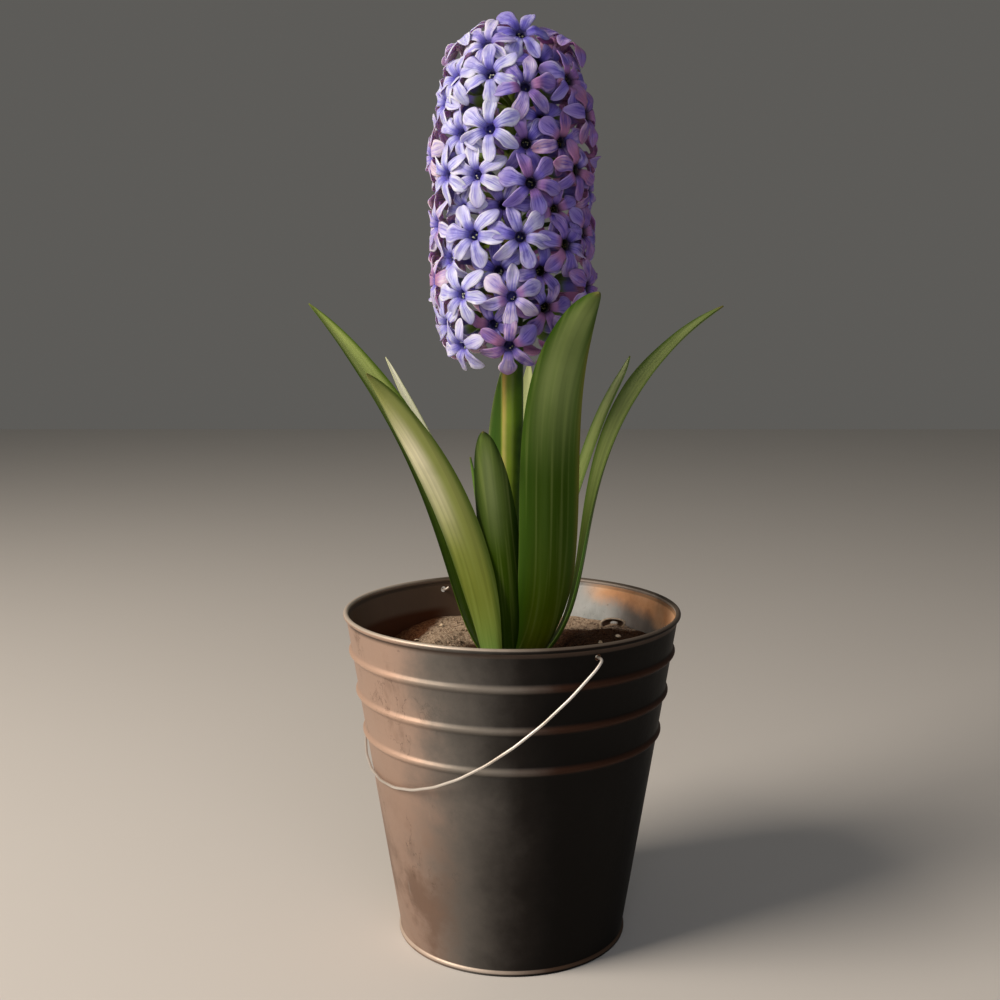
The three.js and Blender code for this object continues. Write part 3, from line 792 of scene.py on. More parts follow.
def makeBark():
    paint = Paint("barkCurl", roughness=0.85)
    fibre = paint.noise(paint.place((1, 1, 3)), 330, 4, 0.6)
    base = fibre.span(0.35, 0.7).mix("#c0a888", "#ecdcc4")
    # The curls' inner faces are painted darker: painted shade in their hollows.
    base = paint.attribute("hollow").mix(base, "#5a4230")
    paint.bump(fibre, 0.5, 0.0006)
    material = paint.finish(base)
    points, faces, hollow = [], [], []
    steps, ring = bark["steps"], ringSteps(bark["across"])
    for azimuth, distance, wide, high, length, facing, fromAngle, toAngle in barkCurls:
        spot = outwardAt(azimuth) * distance
        spot.z = soilTop(spot.x, spot.y) + high * bark["bed"]
        side, away = outwardAt(facing - 90), outwardAt(facing)
        first = len(points)
        for k in range(steps + 1):
            angle = math.radians(lerp(toAngle, fromAngle + 360, k / steps))
            swirl = 1 - bark["swirl"] * smooth((k / steps - 0.7) / 0.3)
            normal = side * math.cos(angle) * wide + up * math.sin(angle) * high
            for across, face in ring:
                hood = lerp(bark["closed"], 1.0, smooth((across + 1) / 1.4))  # it closes at the back
                along = length / 2 * across * (1 - 0.35 * abs(k / steps - 0.4))
                thick = 1 + (0.3 + 0.1 * wide) * face * (1 - across ** 4) / max(wide, 1)
                points.append(spot + normal * (swirl * thick * hood) + away * along)
                hollow.append(1.0 if face < 0 and abs(across) < 0.9 else 0.0)
        points.append(points[-1].lerp(points[-len(ring)], 0.5))
        hollow.append(0.0)
        faces += bladeFaces(steps + 1, len(ring), first)
    curls = makePiece("barkCurls", points, faces, material, {"hollow": hollow})
    seat(curls, "bucket", "soil", "soil")


# Bulb

bulb = {
    "sides": 96, "dishRadius": 16.4, "dishHeight": 141.3, "tornFrom": 141.8,
    "roots": 9, "rootLength": 17, "rootRadius": 0.8, "rootCircle": 6.5, "rootLean": 16, "leanSpread": 6,
    "rootSides": 8, "seed": 2,
}


def bulbPaint():
    paint = Paint("paperTunic", roughness=0.42)
    x, y, z = paint.axes()
    turn = paint.maths("ARCTAN2", y, x)
    fibre = paint.vector(turn * 9.0, z * 30.0, 0.0)
    ribs = paint.noise(fibre, 1.6, 5)
    flake = paint.noise(paint.place(), 120, 5, 0.65)
    skin = ribs.span(0.3, 0.7).mix("#54293a", "#9b6470")
    skin = flake.span(0.55, 0.72, 0, 0.8).mix(skin, "#b98f6a")
    skin = z.span(0.136, 0.145, 0, 0.75).mix(skin, "#c9b48c")
    skin = z.span(0.1, 0.096).mix(skin, "#b7a283")
    paint.bump(flake * 0.4 + ribs, 0.6, 0.0012)
    return paint.finish(skin)


def makeBulb():
    outline = curveThrough([Vector((r, 0, h)) for r, h in bulbOutline[1:]], 4)
    profile = [(0, bulbOutline[0][1])] + [(p.x, p.z) for p in outline]
    profile += [(radius, bulb["dishHeight"]) for radius in (bulb["dishRadius"], 9, 0)]
    points, faces = turnedShape(profile, bulb["sides"])
    shaped = []
    for x, y, z in points:  # ribs of the tunic, and a torn collar
        angle = math.atan2(y, x)
        rib = 1 - 0.012 * (1 + math.sin(14 * angle + 0.05 * z) * math.sin(3 * angle + 1))
        torn = smooth((z - bulb["tornFrom"]) / 3) * (0.9 + 0.9 * noise.noise(Vector((x, y, 0)) / 4))
        shaped.append((x * rib, y * rib, z - max(0.0, torn)))
    body = makePiece("bulbBody", shaped, faces, bulbPaint())
    sharpen(body, 60)
    seat(body, "bucket", "bulb_skin", "bulb")
    generator = random.Random(bulb["seed"])
    paths = []
    for k in range(bulb["roots"]):
        lean = math.radians(bulb["rootLean"] + bulb["leanSpread"] * draw(k))
        azimuth = 360 * k / bulb["roots"]
        out, aside = outwardAt(azimuth), outwardAt(azimuth + 90)
        path = []
        for step in range(9):
            down = bulb["rootLength"] * step / 8 - 2
            wiggle = 0.5 * math.sin(2.4 * step + k) * step / 8
            spot = out * (bulb["rootCircle"] + down * math.sin(lean) * 0.9) + aside * wiggle
            sag = down * math.cos(lean) * generator.uniform(0.96, 0.98)
            path.append(spot + up * (bulbOutline[0][1] - sag))
        paths.append(path)
    pale = Paint("rootWhite", roughness=0.6)
    tone = pale.noise(pale.place(), 200, 3)
    white = pale.finish(tone.mix("#d9cfb8", "#b8a582"))
    roots = tubes("bulbRoots", paths, bulb["rootRadius"], bulb["rootSides"], white)
    seat(roots, "bucket", "bulb_skin", "bulb")


# Leaves: the spine starts at the root's distance from the axis and goes on by three control
# points of distance and height. Turn is how far the blade turns on its spine. A higher blunt gives
# a rounder tip, and a lower taper than leafShape's keeps the blade broad for longer.

plantFoot = 141.6
leafShape = {
    "thickness": 1.7, "cup": 0.25, "hood": 0.9, "taper": 0.75, "flute": 0.006, "wave": 0.03,
    "rings": 90, "across": 20,
}
leaves = [
    {"azimuth": 160, "root": 14, "spine": [(44, 178), (15, 226), (112, 320)],
     "foot": 11, "width": 22, "widest": 0.61, "blunt": 1.95, "turn": 25},
    {"azimuth": 222, "root": 14, "spine": [(19, 150), (20, 217), (88.5, 288)],
     "foot": 15, "width": 22, "widest": 0.5, "blunt": 3.6, "turn": -25},
    {"azimuth": 134, "root": 11, "spine": [(17.8, 194.6), (70.5, 255.2), (98.8, 291.4)],
     "foot": 8, "width": 8.2, "widest": 0.49, "blunt": 1.8, "turn": 16},
    {"azimuth": 190, "root": 8, "spine": [(10, 180), (17, 215), (21, 244.5)],
     "foot": 8, "width": 10, "widest": 0.55, "blunt": 1.9, "turn": 0},
    {"azimuth": -106, "root": 10, "spine": [(9, 172), (40, 243), (50, 261)],
     "foot": 10, "width": 20.5, "widest": 0.46, "blunt": 2.2, "turn": 0},
    {"azimuth": 115, "root": 8, "spine": [(9, 190), (19, 244), (12, 287)],
     "foot": 9, "width": 18.5, "widest": 0.5, "blunt": 1.8, "turn": 0},
    {"azimuth": -62, "root": 14, "spine": [(69, 191), (5, 275), (79, 323.5)],
     "foot": 17, "width": 30, "widest": 0.3, "blunt": 3.6, "taper": 0.64, "turn": 15},
    {"azimuth": 80, "root": 11, "spine": [(17, 190), (30, 240), (57, 290)],
     "foot": 8, "width": 15, "widest": 0.55, "blunt": 1.8, "turn": 0},
    {"azimuth": 30, "root": 11, "spine": [(50, 274), (64, 274), (71, 293)],
     "foot": 9, "width": 10, "widest": 0.48, "blunt": 1.75, "turn": 0},
    {"azimuth": -2, "root": 14, "spine": [(53.5, 177), (15, 261), (102.7, 318.3)],
     "foot": 11, "width": 19, "widest": 0.78, "blunt": 1.35, "turn": -20},
]
# Each leaf's greens: at the foot, along the middle and at the tip, then its margins and how far in
# they reach. Rise is where the tip's green begins. A band of another colour is (from, to, across
# the blade, where it starts along the blade, colour), and bandEnd is where it ends.
# Several greens are painted light: leaves 3 and 8 are nearly white for light shining through them, and
# leaves 1, 6, 9 and 10 are brighter for light falling on them.
leafLooks = [
    {"foot": "#5c7c04", "middle": "#6c8a20", "tip": "#aabb68", "margin": "#44600c", "edge": 0.2},
    {"foot": "#658c46", "middle": "#788436", "tip": "#98a05a", "margin": "#4f6220", "edge": 0.14,
     "band": (-0.85, 0.15, 0.54, "#ece8c4")},
    {"foot": "#dfe6bc", "middle": "#fafae6", "tip": "#f2f4d8", "margin": "#c5cc9c", "edge": 0.16},
    {"foot": "#4a6a20", "middle": "#55752c", "tip": "#5f7f38", "margin": "#39551a", "edge": 0.2},
    {"foot": "#334e00", "middle": "#324a00", "tip": "#5c7034", "margin": "#1c3200", "edge": 0.22,
     "band": (-0.3, 0.3, 0.42, "#6f7e50")},
    {"foot": "#6a9a2c", "middle": "#8cc052", "tip": "#8fc058", "margin": "#bcd47c", "edge": 0.14},
    {"foot": "#586a00", "middle": "#2f4600", "tip": "#7c8d52", "margin": "#2c4804", "edge": 0.24,
     "rise": 0.5, "band": (1.02, 1.2, 0.1, "#8c7c34")},
    {"foot": "#c3cf90", "middle": "#dfe6b8", "tip": "#ccd79c", "margin": "#b0bd80", "edge": 0.2},
    {"foot": "#76924c", "middle": "#b4c878", "tip": "#e4f2a6", "margin": "#6f8c40", "edge": 0.26},
    {"foot": "#34500e", "middle": "#3f4d1b", "tip": "#84945a", "margin": "#4a6220", "edge": 0.18,
     "band": (-1.1, -0.6, 0.0, "#5f9038"), "bandEnd": 0.5},
]


def leafPaint(number, look):
    paint = Paint("leafGreen%d" % number, roughness=0.5, specular=0.1)
    along, across = paint.attribute("along"), paint.attribute("across")
    fibre = paint.vector(paint.attribute("reach"), along * 4.0, number * 3.7)
    veins = paint.noise(fibre, 0.55, 1, 0.5)
    broad = paint.noise(fibre, 0.2, 1, 0.5)
    cloud = paint.noise(paint.place((1, 1, 0.5)), 34, 4, 0.55)
    base = along.span(0.0, 0.45).mix(look["foot"], look["middle"])
    base = along.span(look.get("rise", 0.4), 0.82).mix(base, look["tip"])
    side = abs(across)
    # Margins are partly the leaf's own darker edge and partly painted shade where the blade curves away;
    # leaf 6's light margin is a painted lit rim.
    margin = side.span(1 - look["edge"] * 2.6, 1.0)
    base = margin.mix(base, look["margin"])
    # The bands of leaves 2 and 5 are painted highlights down the blade, and leaf 10's is the painted lit
    # half of its fold.
    if "band" in look:
        low, high, start, shade = look["band"]
        rise = across.span(low - 0.3, low + 0.2)
        fall = across.span(high - 0.3, high + 0.3, 1, 0)
        end = look.get("bandEnd", 0.96)
        band = rise * fall * along.span(start, start + 0.3) * along.span(end, end - 0.16)
        base = band.mix(base, shade)
    base = veins.span(0.5, 0.7, 0, 0.16).mix(base, "#1d3006")
    base = veins.span(0.5, 0.3, 0, 0.12).mix(base, "#a5b568")
    base = broad.span(0.35, 0.7, 0, 0.16).mix(base, "#5f7c30")
    base = cloud.span(0.45, 0.75, 0, 0.25).mix(base, look["margin"])
    tipped = along.span(0.93, 1.0) * 0.5
    base = tipped.mix(base, look["margin"])
    dry = along.span(0.982, 0.998) * cloud.span(0.35, 0.6, 0.2, 0.8)
    base = dry.mix(base, "#77683a")
    return paint.finish(base, veins * 0.12 + 0.44)


def spinePoint(controls, share):  # a cubic Bezier curve, and its direction
    a, b, c, d = controls
    rest = 1 - share
    point = a * rest ** 3 + b * 3 * rest ** 2 * share + c * 3 * rest * share ** 2 + d * share ** 3
    way = (b - a) * rest ** 2 + (c - b) * 2 * rest * share + (d - c) * share ** 2
    return point, way.normalized()


def bladeWidth(leaf, share):
    if share < leaf["widest"]:
        return lerp(leaf["foot"], leaf["width"], smooth(share / leaf["widest"]))
    past = (share - leaf["widest"]) / (1 - leaf["widest"])
    return leaf["width"] * max(0.0, 1 - past ** leaf["blunt"]) ** leaf.get("taper", leafShape["taper"])


def makeLeaf(number, leaf, look):
    controls = [Vector((distance, 0, height)) for distance, height in
                [(leaf["root"], plantFoot), *leaf["spine"]]]
    sideways = Vector((0, 1, 0))
    steps = ringSteps(leafShape["across"])
    points, marks = [], []
    for k in range(leafShape["rings"]):
        share = 1 - (1 - k / leafShape["rings"]) ** 1.6
        centre, tangent = spinePoint(controls, share)
        normal = sideways.cross(tangent)
        turn = math.radians(leaf["turn"]) * smooth(share / 0.8)
        across = sideways * math.cos(turn) + normal * math.sin(turn)
        back = across.cross(tangent)
        reach = bladeWidth(leaf, share) / 2
        cup = leafShape["cup"] * (1 + leafShape["hood"] * smooth((share - 0.86) / 0.14))
        thick = leafShape["thickness"] / 2 * (1 - 0.45 * smooth((share - 0.6) / 0.4))
        for u, face in steps:
            flute = leafShape["flute"] * reach * math.sin(7 * u + number) * smooth(share / 0.1)
            wave = leafShape["wave"] * reach * math.sin(11 * share + 2 * number + u)
            wave *= smooth(share / 0.3) * u * u
            lift = face * thick * max(0.0, 1 - abs(u) ** 3) ** 0.6
            point = centre + across * (u * reach) + back * (lift + flute + wave - cup * reach * u * u)
            if k == 0:
                point.z = plantFoot
            points.append(point)
            marks.append((share, u, u * reach))
    points.append(spinePoint(controls, 1.0)[0])
    marks.append((1.0, 0.0, 0.0))
    values = dict(zip(("along", "across", "reach"), zip(*marks)))
    turned = Matrix.Rotation(math.radians(leaf["azimuth"]), 3, "Z")
    faces = bladeFaces(leafShape["rings"], len(steps))
    blade = makePiece("leaf%d" % number, [turned @ point for point in points], faces,
                      leafPaint(number, look), values)
    sharpen(blade, 75)
    seat(blade, "bucket", "leaf", "leaf_%d" % number)


# Flower head: florets as azimuth, height, how far each sits behind the head's surface, how far
# its first lobe is turned up from the level, and how much more it faces up

head = {
    "radius": 40, "shoulder": 392, "waist": 330, "topSpan": 60, "footSpan": 62,
    "topPitch": 34, "topPitchSpan": 58, "footPitch": 26, "footPitchSpan": 35, "crown": 448.5,
    "rosyBelow": 332, "rosySpan": 30,
}
floret = {
    "lobes": 6, "lobeLength": 14.2, "lobeHalfWidth": 3.7, "droop": 4.2, "thickness": 0.64,
    "turnover": 0.24, "neckReach": 5.2, "neckHeight": 1.2, "curlFrom": 6.5, "curlSpan": 7.7,
    "rootHalfWidth": 1.5, "neckHalfWidth": 2.45,
    "bulge": 2.8, "tubeLength": 17, "rings": 10, "kinds": 8, "seed": 11, "size": 1.05, "sizeSpread": 0.05,
}
nearFlorets = [
    (-17, 442, -3, 20, 30), (-165, 443, -2, 40, 21), (-80, 442, 0, 5), (-118, 437, 0, 20),
    (-63, 428, 6, 50), (-140, 422, 0, 10), (-42, 421, 0, 38), (-108, 422, 0, 35), (-81, 416, 0, 12),
    (-155, 412, 2, 50), (-26, 406, 0, 0), (-66, 402, 7, 40), (-106, 397, 0, 30), (-130, 396, 2, 35),
    (-80, 391, 5, 52), (-52, 392, 3, 20), (-166, 388, 0, 15), (-141, 378, 0, 32), (-42, 380, 0, 45),
    (-116, 377, 1, 33), (-78, 373, 0, 50), (-98, 364, 8, 0), (-16, 372, 2, 30), (-57, 362, 4, 20),
    (-134, 363, 6, 5), (-158, 356, 1, 45), (-30, 352, 1, 10), (-118, 350, 0, 50), (-85, 349, 0, 50),
    (-50, 346, 1, 48), (-146, 340, 4, 20), (-102, 334, 7, 35), (-68, 334, 5, 15), (-26, 327, 0, 40),
    (-164, 330, 1, 0), (-128, 323, 0, 50), (-91, 322, 0, 27), (-62, 317, 6, 5), (-108, 309, 7, 45),
    (-152, 309, 2, 30), (-36, 304, 4, 25), (-135, 299, 0, 10), (-93, 299, 0, 25),
]
# The far side repeats the near florets half a turn on and a little higher or lower, without those
# that sit deepest, and a few more fill its gaps
farTurn = 180
farRise = 2.6
farDeepest = 3
moreFlorets = [
    (-4, 425, 1, 10), (176, 425, 1, 30), (103, 400, 0, 45), (-2, 350, 1, 55), (178, 345, 1, 20),
    (112, 314, 2, 0), (-3, 312, 1, 25), (138, 303, 1, 40), (170, 303, 2, 15),
]
stalk = {
    "radius": 5.5, "straightTo": 300, "topRadius": 3.2, "top": 440, "sides": 40, "rings": 44,
    "pedicelRadius": 1.15, "pedicelSides": 8, "pedicelSteps": 6, "pedicelRise": 5, "overlap": 0.6,
}


def headRadius(height):
    over = max(0.0, height - head["shoulder"]) / head["topSpan"]
    under = max(0.0, head["waist"] - height) / head["footSpan"]
    return head["radius"] * math.sqrt(max(0.01, 1 - over ** 2 - under ** 2))


def headPitch(height):
    over = max(0.0, height - head["shoulder"]) / head["topPitchSpan"]
    under = max(0.0, head["waist"] - height) / head["footPitchSpan"]
    return head["topPitch"] * over ** 1.2 - head["footPitch"] * under


def floretPlaces():  # throat, facing, turn and size of each floret
    spots = [(i, *spot) for i, spot in enumerate(nearFlorets)]
    for i, (azimuth, height, sink, *rest) in enumerate(nearFlorets):
        if sink <= farDeepest:
            spots.append((i + 100, azimuth + farTurn, height + farRise * draw(i + 50), sink, *rest))
    spots += [(i + 200, *spot) for i, spot in enumerate(moreFlorets)]
    places = []
    for index, azimuth, height, sink, roll, *lift in spots:
        pitch = math.radians(headPitch(height) + sum(lift))
        outward = outwardAt(azimuth)
        facing = outward * math.cos(pitch) + up * math.sin(pitch)
        throat = outward * (headRadius(height) - sink) + up * height
        aim = up.rotation_difference(facing) @ Quaternion(up, math.radians(roll + azimuth + 90))
        deep = sink > farDeepest
        size = floret["size"] + floret["sizeSpread"] * draw(index + 800) - (0.06 if deep else 0)
        places.append({"throat": throat, "facing": facing, "turn": aim, "size": size, "index": index,
                       "deep": float(deep)})
    places.append({"throat": up * head["crown"], "facing": up, "turn": Quaternion(), "size": 1.0,
                   "index": 300, "deep": 0.0})
    return places


throatPath = [Vector(spot) for spot in ((2.1, 0, -4.6), (2.5, 0, -1.6), (2.7, 0, 1.3), (5.2, 0, 0.6))]


def lobeMiddle(share, curl):  # place and direction of a lobe's mid-line, out of the throat and down
    turnover = floret["turnover"]
    if share < turnover:
        return spinePoint(throatPath, share / turnover)
    distance = lerp(floret["neckReach"], floret["lobeLength"], (share - turnover) / (1 - turnover))

    def height(d):
        droop = floret["droop"] * (d / floret["lobeLength"]) ** 2
        past = max(0.0, (d - floret["curlFrom"]) / floret["curlSpan"])
        return floret["neckHeight"] - droop - curl * past ** 2

    step = 0.05
    way = Vector((step, 0, height(distance + step) - height(distance))).normalized()
    return Vector((distance, 0, height(distance))), way


def lobeWidth(share, blunt):
    turnover, neck = floret["turnover"], floret["neckHalfWidth"]
    if share < turnover:
        return lerp(floret["rootHalfWidth"], neck, share / turnover)
    past = (share - turnover) / (1 - turnover)
    swell = lerp(neck, floret["lobeHalfWidth"], smooth(past / 0.55))
    return swell * max(0.0, 1 - max(0.0, (past - 0.4) / 0.6) ** blunt) ** 0.66


def floretShape(name, generator):
    points, faces, marks = [], [], []
    face = [(u, 1) for u in (-1, -0.88, -0.42, 0, 0.42, 0.88, 1)]
    steps = face + [(-u, -1) for u, side in face[1:-1]]
    rings = floret["rings"]
    for lobe in range(floret["lobes"]):  # three broad inner lobes, and three that fold along the middle
        outer = lobe % 2 == 1
        azimuth = 2 * math.pi * lobe / floret["lobes"] + generator.uniform(-0.09, 0.09)
        turn = Matrix.Rotation(azimuth, 3, "Z")
        curl = generator.uniform(-1.8, 3.6)
        twist = generator.uniform(-0.5, 0.5)
        fold = generator.uniform(0.15, 0.6) if outer else generator.uniform(-0.15, 0.2)
        crown = generator.uniform(-0.05, 0.15) if outer else generator.uniform(0.0, 0.3)
        broad = generator.uniform(0.82, 1.02) if outer else generator.uniform(1.02, 1.3)
        blunt = generator.uniform(1.5, 2.1) if outer else generator.uniform(1.8, 2.7)
        sway = generator.uniform(-1.3, 1.3)
        shade = generator.random()
        rise = -0.15 if outer else 0.2
        first = len(points)
        for k in range(rings):
            share = 1 - (1 - k / rings) ** 1.25
            centre, way = lobeMiddle(share, curl)
            level = Vector((0, 1, 0))
            normal = way.cross(level)
            opened = smooth((share - 0.25) / 0.4)
            angle = twist * opened
            across = level * math.cos(angle) + normal * math.sin(angle)
            lifted = way.cross(across)
            reach = lobeWidth(share, blunt) * lerp(1.0, broad, opened)
            for u, side in steps:
                edge = (fold * abs(u) - crown * u * u) * reach * opened
                crease = -0.3 * math.exp(-(u / 0.2) ** 2) * opened * (1 - share)
                thick = side * floret["thickness"] / 2 * max(0.0, 1 - u ** 8) ** 0.6 * lerp(1.0, 0.6, share)
                ripple = 0.2 * math.sin(4 * u + 8 * share + 6 * shade) * opened * abs(u)
                point = centre + across * (u * reach + sway * opened * share ** 2)
                point += lifted * (thick + crease + edge + ripple + rise * opened)
                points.append(turn @ point)
                marks.append((share, u, 0.0 if side > 0 else 1.0, shade, 0.0))
        points.append(turn @ (lobeMiddle(1.0, curl)[0] + Vector((0, sway, 0))))
        marks.append((1.0, 0.0, 0.5, shade, 0.0))
        faces += bladeFaces(rings, len(steps), first)
    first = len(points)
    length, bulge = floret["tubeLength"], floret["bulge"]
    profile = [(0, -length), (1.0, -length), (1.9, -length + 0.7), (bulge - 0.1, -length + 2.6),
               (bulge, -length + 4.6), (bulge - 0.35, -length + 7.5), (2.4, -6.5), (2.65, -3.9),
               (2.75, -1.9), (2.35, -1.8), (2.05, -3.6), (1.7, -5.8), (0, -6.6)]
    tube, tubeFaces = turnedShape(profile, 14)
    for x, y, z in tube:
        deep = z > -6.7 and math.hypot(x, y) < 2.36
        points.append(Vector((x, y, z)))
        marks.append((smooth((z + length) / length) - 1.0, 0.0, 1.0, 0.5, float(deep)))
    faces += [tuple(first + i for i in face) for face in tubeFaces]
    values = dict(zip(("along", "across", "back", "shade", "inside"), zip(*marks)))
    return makePiece(name, points, faces, None, values)


def petalPaint():
    paint = Paint("hyacinthPetal", roughness=0.5, specular=0.25)
    depths = {"Subsurface Weight": 0.3, "Subsurface Radius": (0.6, 0.45, 1.0), "Subsurface Scale": 0.003}
    for label, value in depths.items():
        paint.feed(label, value)
    along, across = paint.attribute("along"), paint.attribute("across")
    back, shade = paint.attribute("back"), paint.attribute("shade")
    pale, rose, luck = paint.attribute("pale"), paint.attribute("rose"), paint.attribute("luck")
    side = abs(across)
    lot = (shade * 11.3 + luck * 5.1).fraction()
    other = (shade * 23.7 + luck * 9.7).fraction()
    drift = paint.noise(paint.place(), 170, 3, 0.5)
    shift = lot * 40.0
    lines = paint.vector(across * 4.6, along * 1.2, shift)
    grain = paint.noise(lines, 1.0, 2, 0.6)
    blots = paint.vector(across * 1.0, along * 2.6, shift)
    cloud = paint.noise(blots, 1.0, 2, 0.5)
    light = pale + lot.span(0, 1, -0.3, 0.3)
    light = light + cloud.span(0.35, 0.65, -0.16, 0.16)
    light = light.span(0, 1)
    edge = light.mix("#948ed4", "#dfe1fd")
    body = light.mix("#6c66c6", "#bcc0f8")
    face = side.span(0.25, 0.95).mix(body, edge)
    face = along.span(0.4, 0.95, 0, 0.45).mix(face, edge)
    dusk = rose * other.span(0.1, 0.7, 0.35, 1.0)
    mauve = light.mix("#8c6494", "#d8bcd2")
    face = (dusk * 0.9).mix(face, mauve)
    face = drift.span(0.5, 0.75, 0, 0.35).mix(face, "#6660d4")
    line = light.mix("#382c92", "#726cd2")
    streak = grain.span(0.5, 0.6) * along.span(1.0, 0.5, 0.2, 1.0)
    face = (streak * 0.6).mix(face, line)
    bright = grain.span(0.46, 0.32) * along.span(0.3, 0.6)
    face = (bright * 0.35).mix(face, edge)
    middle = side.span(0.14, 0.02) * along.span(0.95, 0.4)
    face = (middle * 0.4).mix(face, line)
    tipped = along.span(0.62, 0.95) * lot.span(0.68, 0.8)
    face = (tipped * 0.5).mix(face, rose.mix("#5a54cc", "#a06a88"))
    start = other.span(0.45, 1.0, -0.1, 0.2)
    near = cloud * 0.16 + along - start
    root = light.mix("#3c32a4", "#5c54cc")
    rooted = near.span(0.52, 0.2) * other.span(0.75, 0.25, 0.25, 1.0)
    face = rooted.mix(face, root)
    blush = rose.span(0.15, 0.6) * lot.span(0.45, 0.3)
    blush = blush * near.span(0.66, 0.3)
    face = (blush * 0.7).mix(face, "#a8708e")
    # The lobes' roots darken into the throat as painted shade, near black in the dark florets and lighter
    # in the pale ones, where light falls in: painted light.
    throat = pale.mix("#120b10", "#6a64c0")
    face = along.span(0.22, 0.06).mix(face, throat)
    rear = pale.mix("#a07ab4", "#e4c4d2")
    rear = side.span(0.3, 0.04, 0, 0.5).mix(rear, "#8a5f9c")
    rear = grain.span(0.48, 0.62, 0, 0.45).mix(rear, "#8c66a4")
    rear = (rose * 0.5).mix(rear, "#b0708a")
    rear = along.span(-0.45, -0.02, 1, 0).mix(rear, "#6a61b4")
    rear = along.span(-0.95, -0.6, 1, 0).mix(rear, "#66803a")
    base = back.mix(face, rear)
    # The tube's inside is painted as shade: near black, lighter in the pale florets where light falls in.
    base = paint.attribute("inside").mix(base, pale.mix("#0a0708", "#5a55a4"))
    paint.bump(grain, 0.3, 0.0005)
    return paint.finish(base, grain * 0.15 + 0.5)


def makeFlorets(places):
    generator = random.Random(floret["seed"])
    shapes = [floretShape("floretKind%d" % i, generator) for i in range(floret["kinds"])]
    rows = []
    for place in places:  # pale at the left, rosy at the right, low down and at the far left edge
        index, throat = place["index"], place["throat"]
        right = throat.x / head["radius"]
        low = smooth((head["rosyBelow"] - throat.z) / head["rosySpan"])
        # Paleness at the left is partly the florets' own tint and partly painted light where the light
        # falls; the deeper-set florets are painted less pale as shade.
        pale = smooth(0.5 - 0.75 * right + 0.18 * draw(index + 400) - 0.12 * low - 0.25 * place["deep"])
        rose = smooth(0.3 + 0.8 * right + 0.3 * draw(index + 500) + 0.5 * low)
        rose = max(rose, 0.9 * smooth((-0.84 - right) / 0.12))
        values = {"pale": pale, "rose": rose, "luck": 0.5 + 0.5 * draw(index + 700)}
        rows.append((throat, place["turn"], place["size"], index % floret["kinds"], values))
    florets = scatter("florets", rows, shapes, petalPaint())
    seat(florets, "bucket", "flower", "flower_spike")


anther = {
    "count": 6, "radius": 0.42, "tall": 2.2, "absentOver": 0.35, "astray": 14,
    "circle": 1.0, "circleSpread": 0.25, "depth": -2.6, "depthSpread": 0.7, "lean": -0.25,
}


def makeAnthers(places):
    paint = Paint("anther", roughness=0.7)
    dust = paint.noise(paint.place(), 900, 3)
    bright = dust.span(0.4, 0.6).mix("#9fa884", "#dcdcc8")
    # Anthers are painted dark olive towards the right and pale at the left, where light falls into the
    # throats: painted light and shade.
    material = paint.finish(paint.attribute("pale").mix("#4c4414", bright))
    bean = ballShape("antherKind", anther["radius"], anther["tall"])
    rows = []
    for place in places:
        index = place["index"]
        pale = smooth(0.5 - 0.9 * place["throat"].x / head["radius"])
        for k in range(anther["count"]):
            if draw(index + 31 * k) > anther["absentOver"]:
                continue
            angle = math.radians(60 * k + 30 + anther["astray"] * draw(index + k))
            reach = anther["circle"] + anther["circleSpread"] * draw(index + 3 * k)
            depth = anther["depth"] + anther["depthSpread"] * draw(7 * k + index)
            spot = Vector((reach * math.cos(angle), reach * math.sin(angle), depth))
            seen = place["turn"] @ spot
            if pale > 0.5:  # in pale florets they lie together at the lower right
                if seen.x - seen.z < 0:
                    continue
                seen += Vector((0.3, 0, -0.3))
            tilt = place["turn"] @ Quaternion(Vector((-spot.y, spot.x, 0)), anther["lean"])
            rows.append((place["throat"] + seen, tilt, 0.75 + 0.4 * pale, 0, {"pale": pale}))
    anthers = scatter("anthers", rows, [bean], material)
    faceOut(anthers)
    seat(anthers, "bucket", "flower")


def stalkPaint():
    paint = Paint("stalkGreen", roughness=0.4, specular=0.4)
    x, y, z = paint.axes()
    fibre = paint.noise(paint.place((1, 1, 0.12)), 420, 4, 0.6)
    cloud = paint.noise(paint.place(), 45, 3)
    base = cloud.span(0.35, 0.65).mix("#32540a", "#557c14")
    base = fibre.span(0.5, 0.75, 0, 0.3).mix(base, "#748c2c")
    # The stalk's left side is painted lighter and yellower, where the light falls: painted light.
    base = x.span(0.0035, -0.0015, 0, 0.55).mix(base, "#7c8c26")
    turn = paint.maths("ARCTAN2", y, x)
    stripe = turn.span(-2.9, -2.5) * turn.span(-2.45, -1.95, 1, 0)
    stripe = stripe * z.span(0.2, 0.24) * z.span(0.37, 0.33) * cloud.span(0.3, 0.6, 0.5, 0.85)
    tan = z.span(0.25, 0.29).mix("#a9a05a", "#b8904a")
    base = stripe.mix(base, tan)
    paint.bump(fibre, 0.3, 0.0005)
    return paint.finish(base)


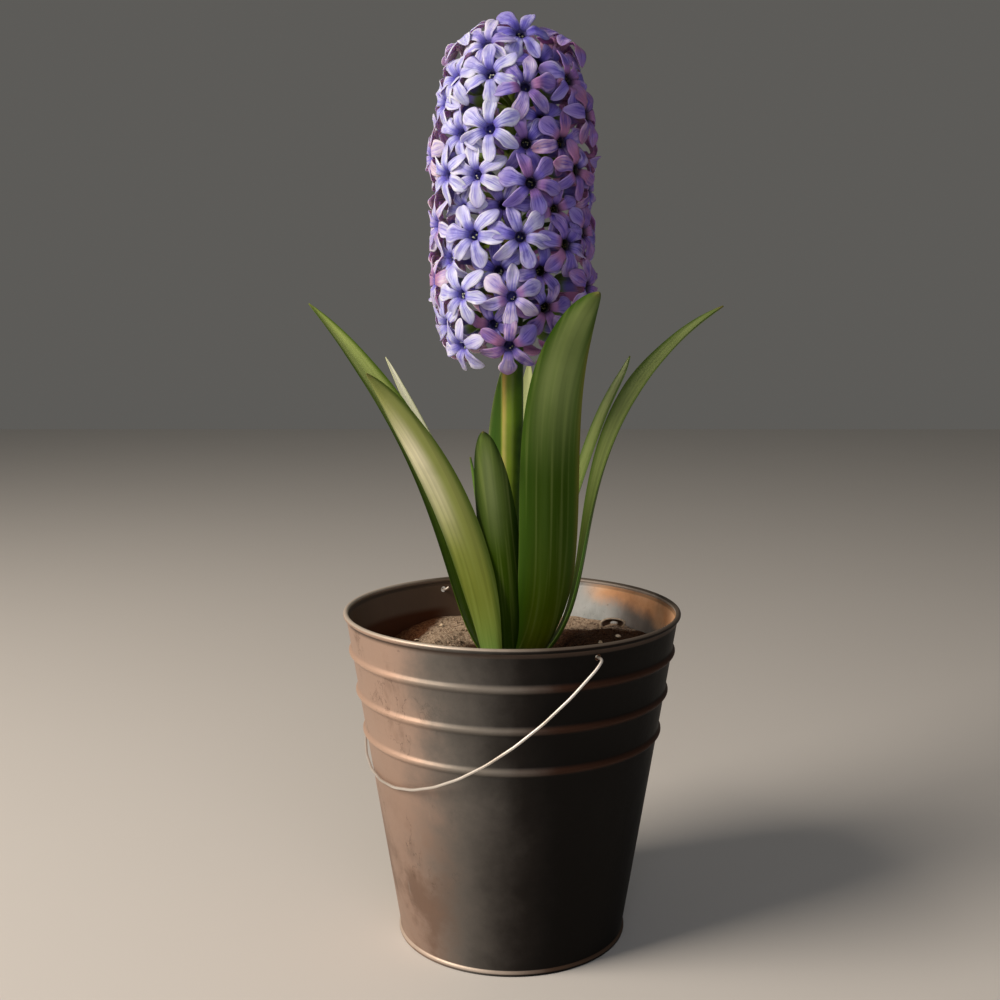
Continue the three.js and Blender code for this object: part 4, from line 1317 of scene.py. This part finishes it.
def makeStalk(places):
    material = stalkPaint()
    profile = [(0, plantFoot), (stalk["radius"] - 0.4, plantFoot), (stalk["radius"], plantFoot + 1)]
    for k in range(1, stalk["rings"] + 1):
        height = lerp(plantFoot + 1, stalk["top"], k / stalk["rings"])
        taper = max(0.0, height - stalk["straightTo"]) / (stalk["top"] - stalk["straightTo"])
        profile.append((lerp(stalk["radius"], stalk["topRadius"], taper), height))
    profile.append((0, stalk["top"] + 2))
    points, faces = turnedShape(profile, stalk["sides"])
    shaped = []
    for x, y, z in points:
        angle = math.atan2(y, x)
        rib = 1 + 0.015 * math.sin(7 * angle) + 0.02 * math.sin(2 * angle + z / 30)
        shaped.append((x * rib, y * rib, z))
    stem = makePiece("stalk", shaped, faces, material)
    seat(stem, "bucket", "leaf")
    paths = []
    for place in places:
        end = place["throat"] - place["facing"] * (floret["tubeLength"] - stalk["overlap"])
        flat = Vector((place["throat"].x, place["throat"].y, 0))
        start = up * (end.z - stalk["pedicelRise"] - 2 * draw(place["index"] + 600))
        start += flat * (2.0 / max(flat.length, 1.0))
        start.z = min(start.z, stalk["top"] - 1)
        bend = end - place["facing"] * (end - start).length * 0.5
        shares = [i / stalk["pedicelSteps"] for i in range(stalk["pedicelSteps"] + 1)]
        paths.append([start.lerp(bend, s).lerp(bend.lerp(end, s), s) for s in shares])
    pedicels = tubes("pedicels", paths, stalk["pedicelRadius"], stalk["pedicelSides"], material)
    seat(pedicels, "bucket", "leaf")


# Room: a pale floor, a warm soft light from the upper left and a weak fill

room = {
    "floorSize": 6.0, "floor": "#cfcdc9", "floorCloud": "#d2d0cc", "world": "#7e7c78",
    "worldStrength": 0.52, "lightsAimAt": (0, 0, 0.25),
    "key": {"place": (-1.35, -0.62, 1.28), "size": 0.9, "power": 41, "colour": "#fff0e0"},
    "fill": {"place": (0.3, -1.9, 0.9), "size": 1.6, "power": 9.5, "colour": "#f0f0fb"},
}


def softLight(name, look):
    light = bpy.data.lights.new(name, "AREA")
    light.size = look["size"]
    light.energy = look["power"]
    light.color = colour(look["colour"])[:3]
    lamp = addObject(name, light)
    lamp.location = look["place"]
    aim = Vector(room["lightsAimAt"]) - Vector(look["place"])
    lamp.rotation_euler = aim.to_track_quat("-Z", "Y").to_euler()


def makeRoom():
    half = room["floorSize"] / 2
    mesh = bpy.data.meshes.new("floor")
    corners = [(-half, -half, 0), (half, -half, 0), (half, half, 0), (-half, half, 0)]
    mesh.from_pydata(corners, [], [(0, 1, 2, 3)])
    floor = addObject("floor", mesh)
    paint = Paint("paleFloor", roughness=0.8)
    cloud = paint.noise(paint.place(), 3, 3)
    mesh.materials.append(paint.finish(cloud.mix(room["floor"], room["floorCloud"])))
    world = bpy.data.worlds.new("studio")
    world.use_nodes = True
    sky = world.node_tree.nodes["Background"].inputs
    sky["Color"].default_value = colour(room["world"])
    sky["Strength"].default_value = room["worldStrength"]
    bpy.context.scene.world = world
    bpy.context.scene.view_settings.view_transform = "Standard"
    softLight("keyLight", room["key"])
    softLight("fillLight", room["fill"])


setCamera()
makeRoom()
print("Camera, floor and lights made")
makeBucket()
makeBottom()
makeBail()
print("Bucket and bail made")
makeSoil()
makeBulb()
print("Soil and bulb made")
for number, (leaf, look) in enumerate(zip(leaves, leafLooks), 1):
    makeLeaf(number, leaf, look)
print("Leaves made")
floretSpots = floretPlaces()
makeFlorets(floretSpots)
makeAnthers(floretSpots)
makeStalk(floretSpots)
print("Flower head made")
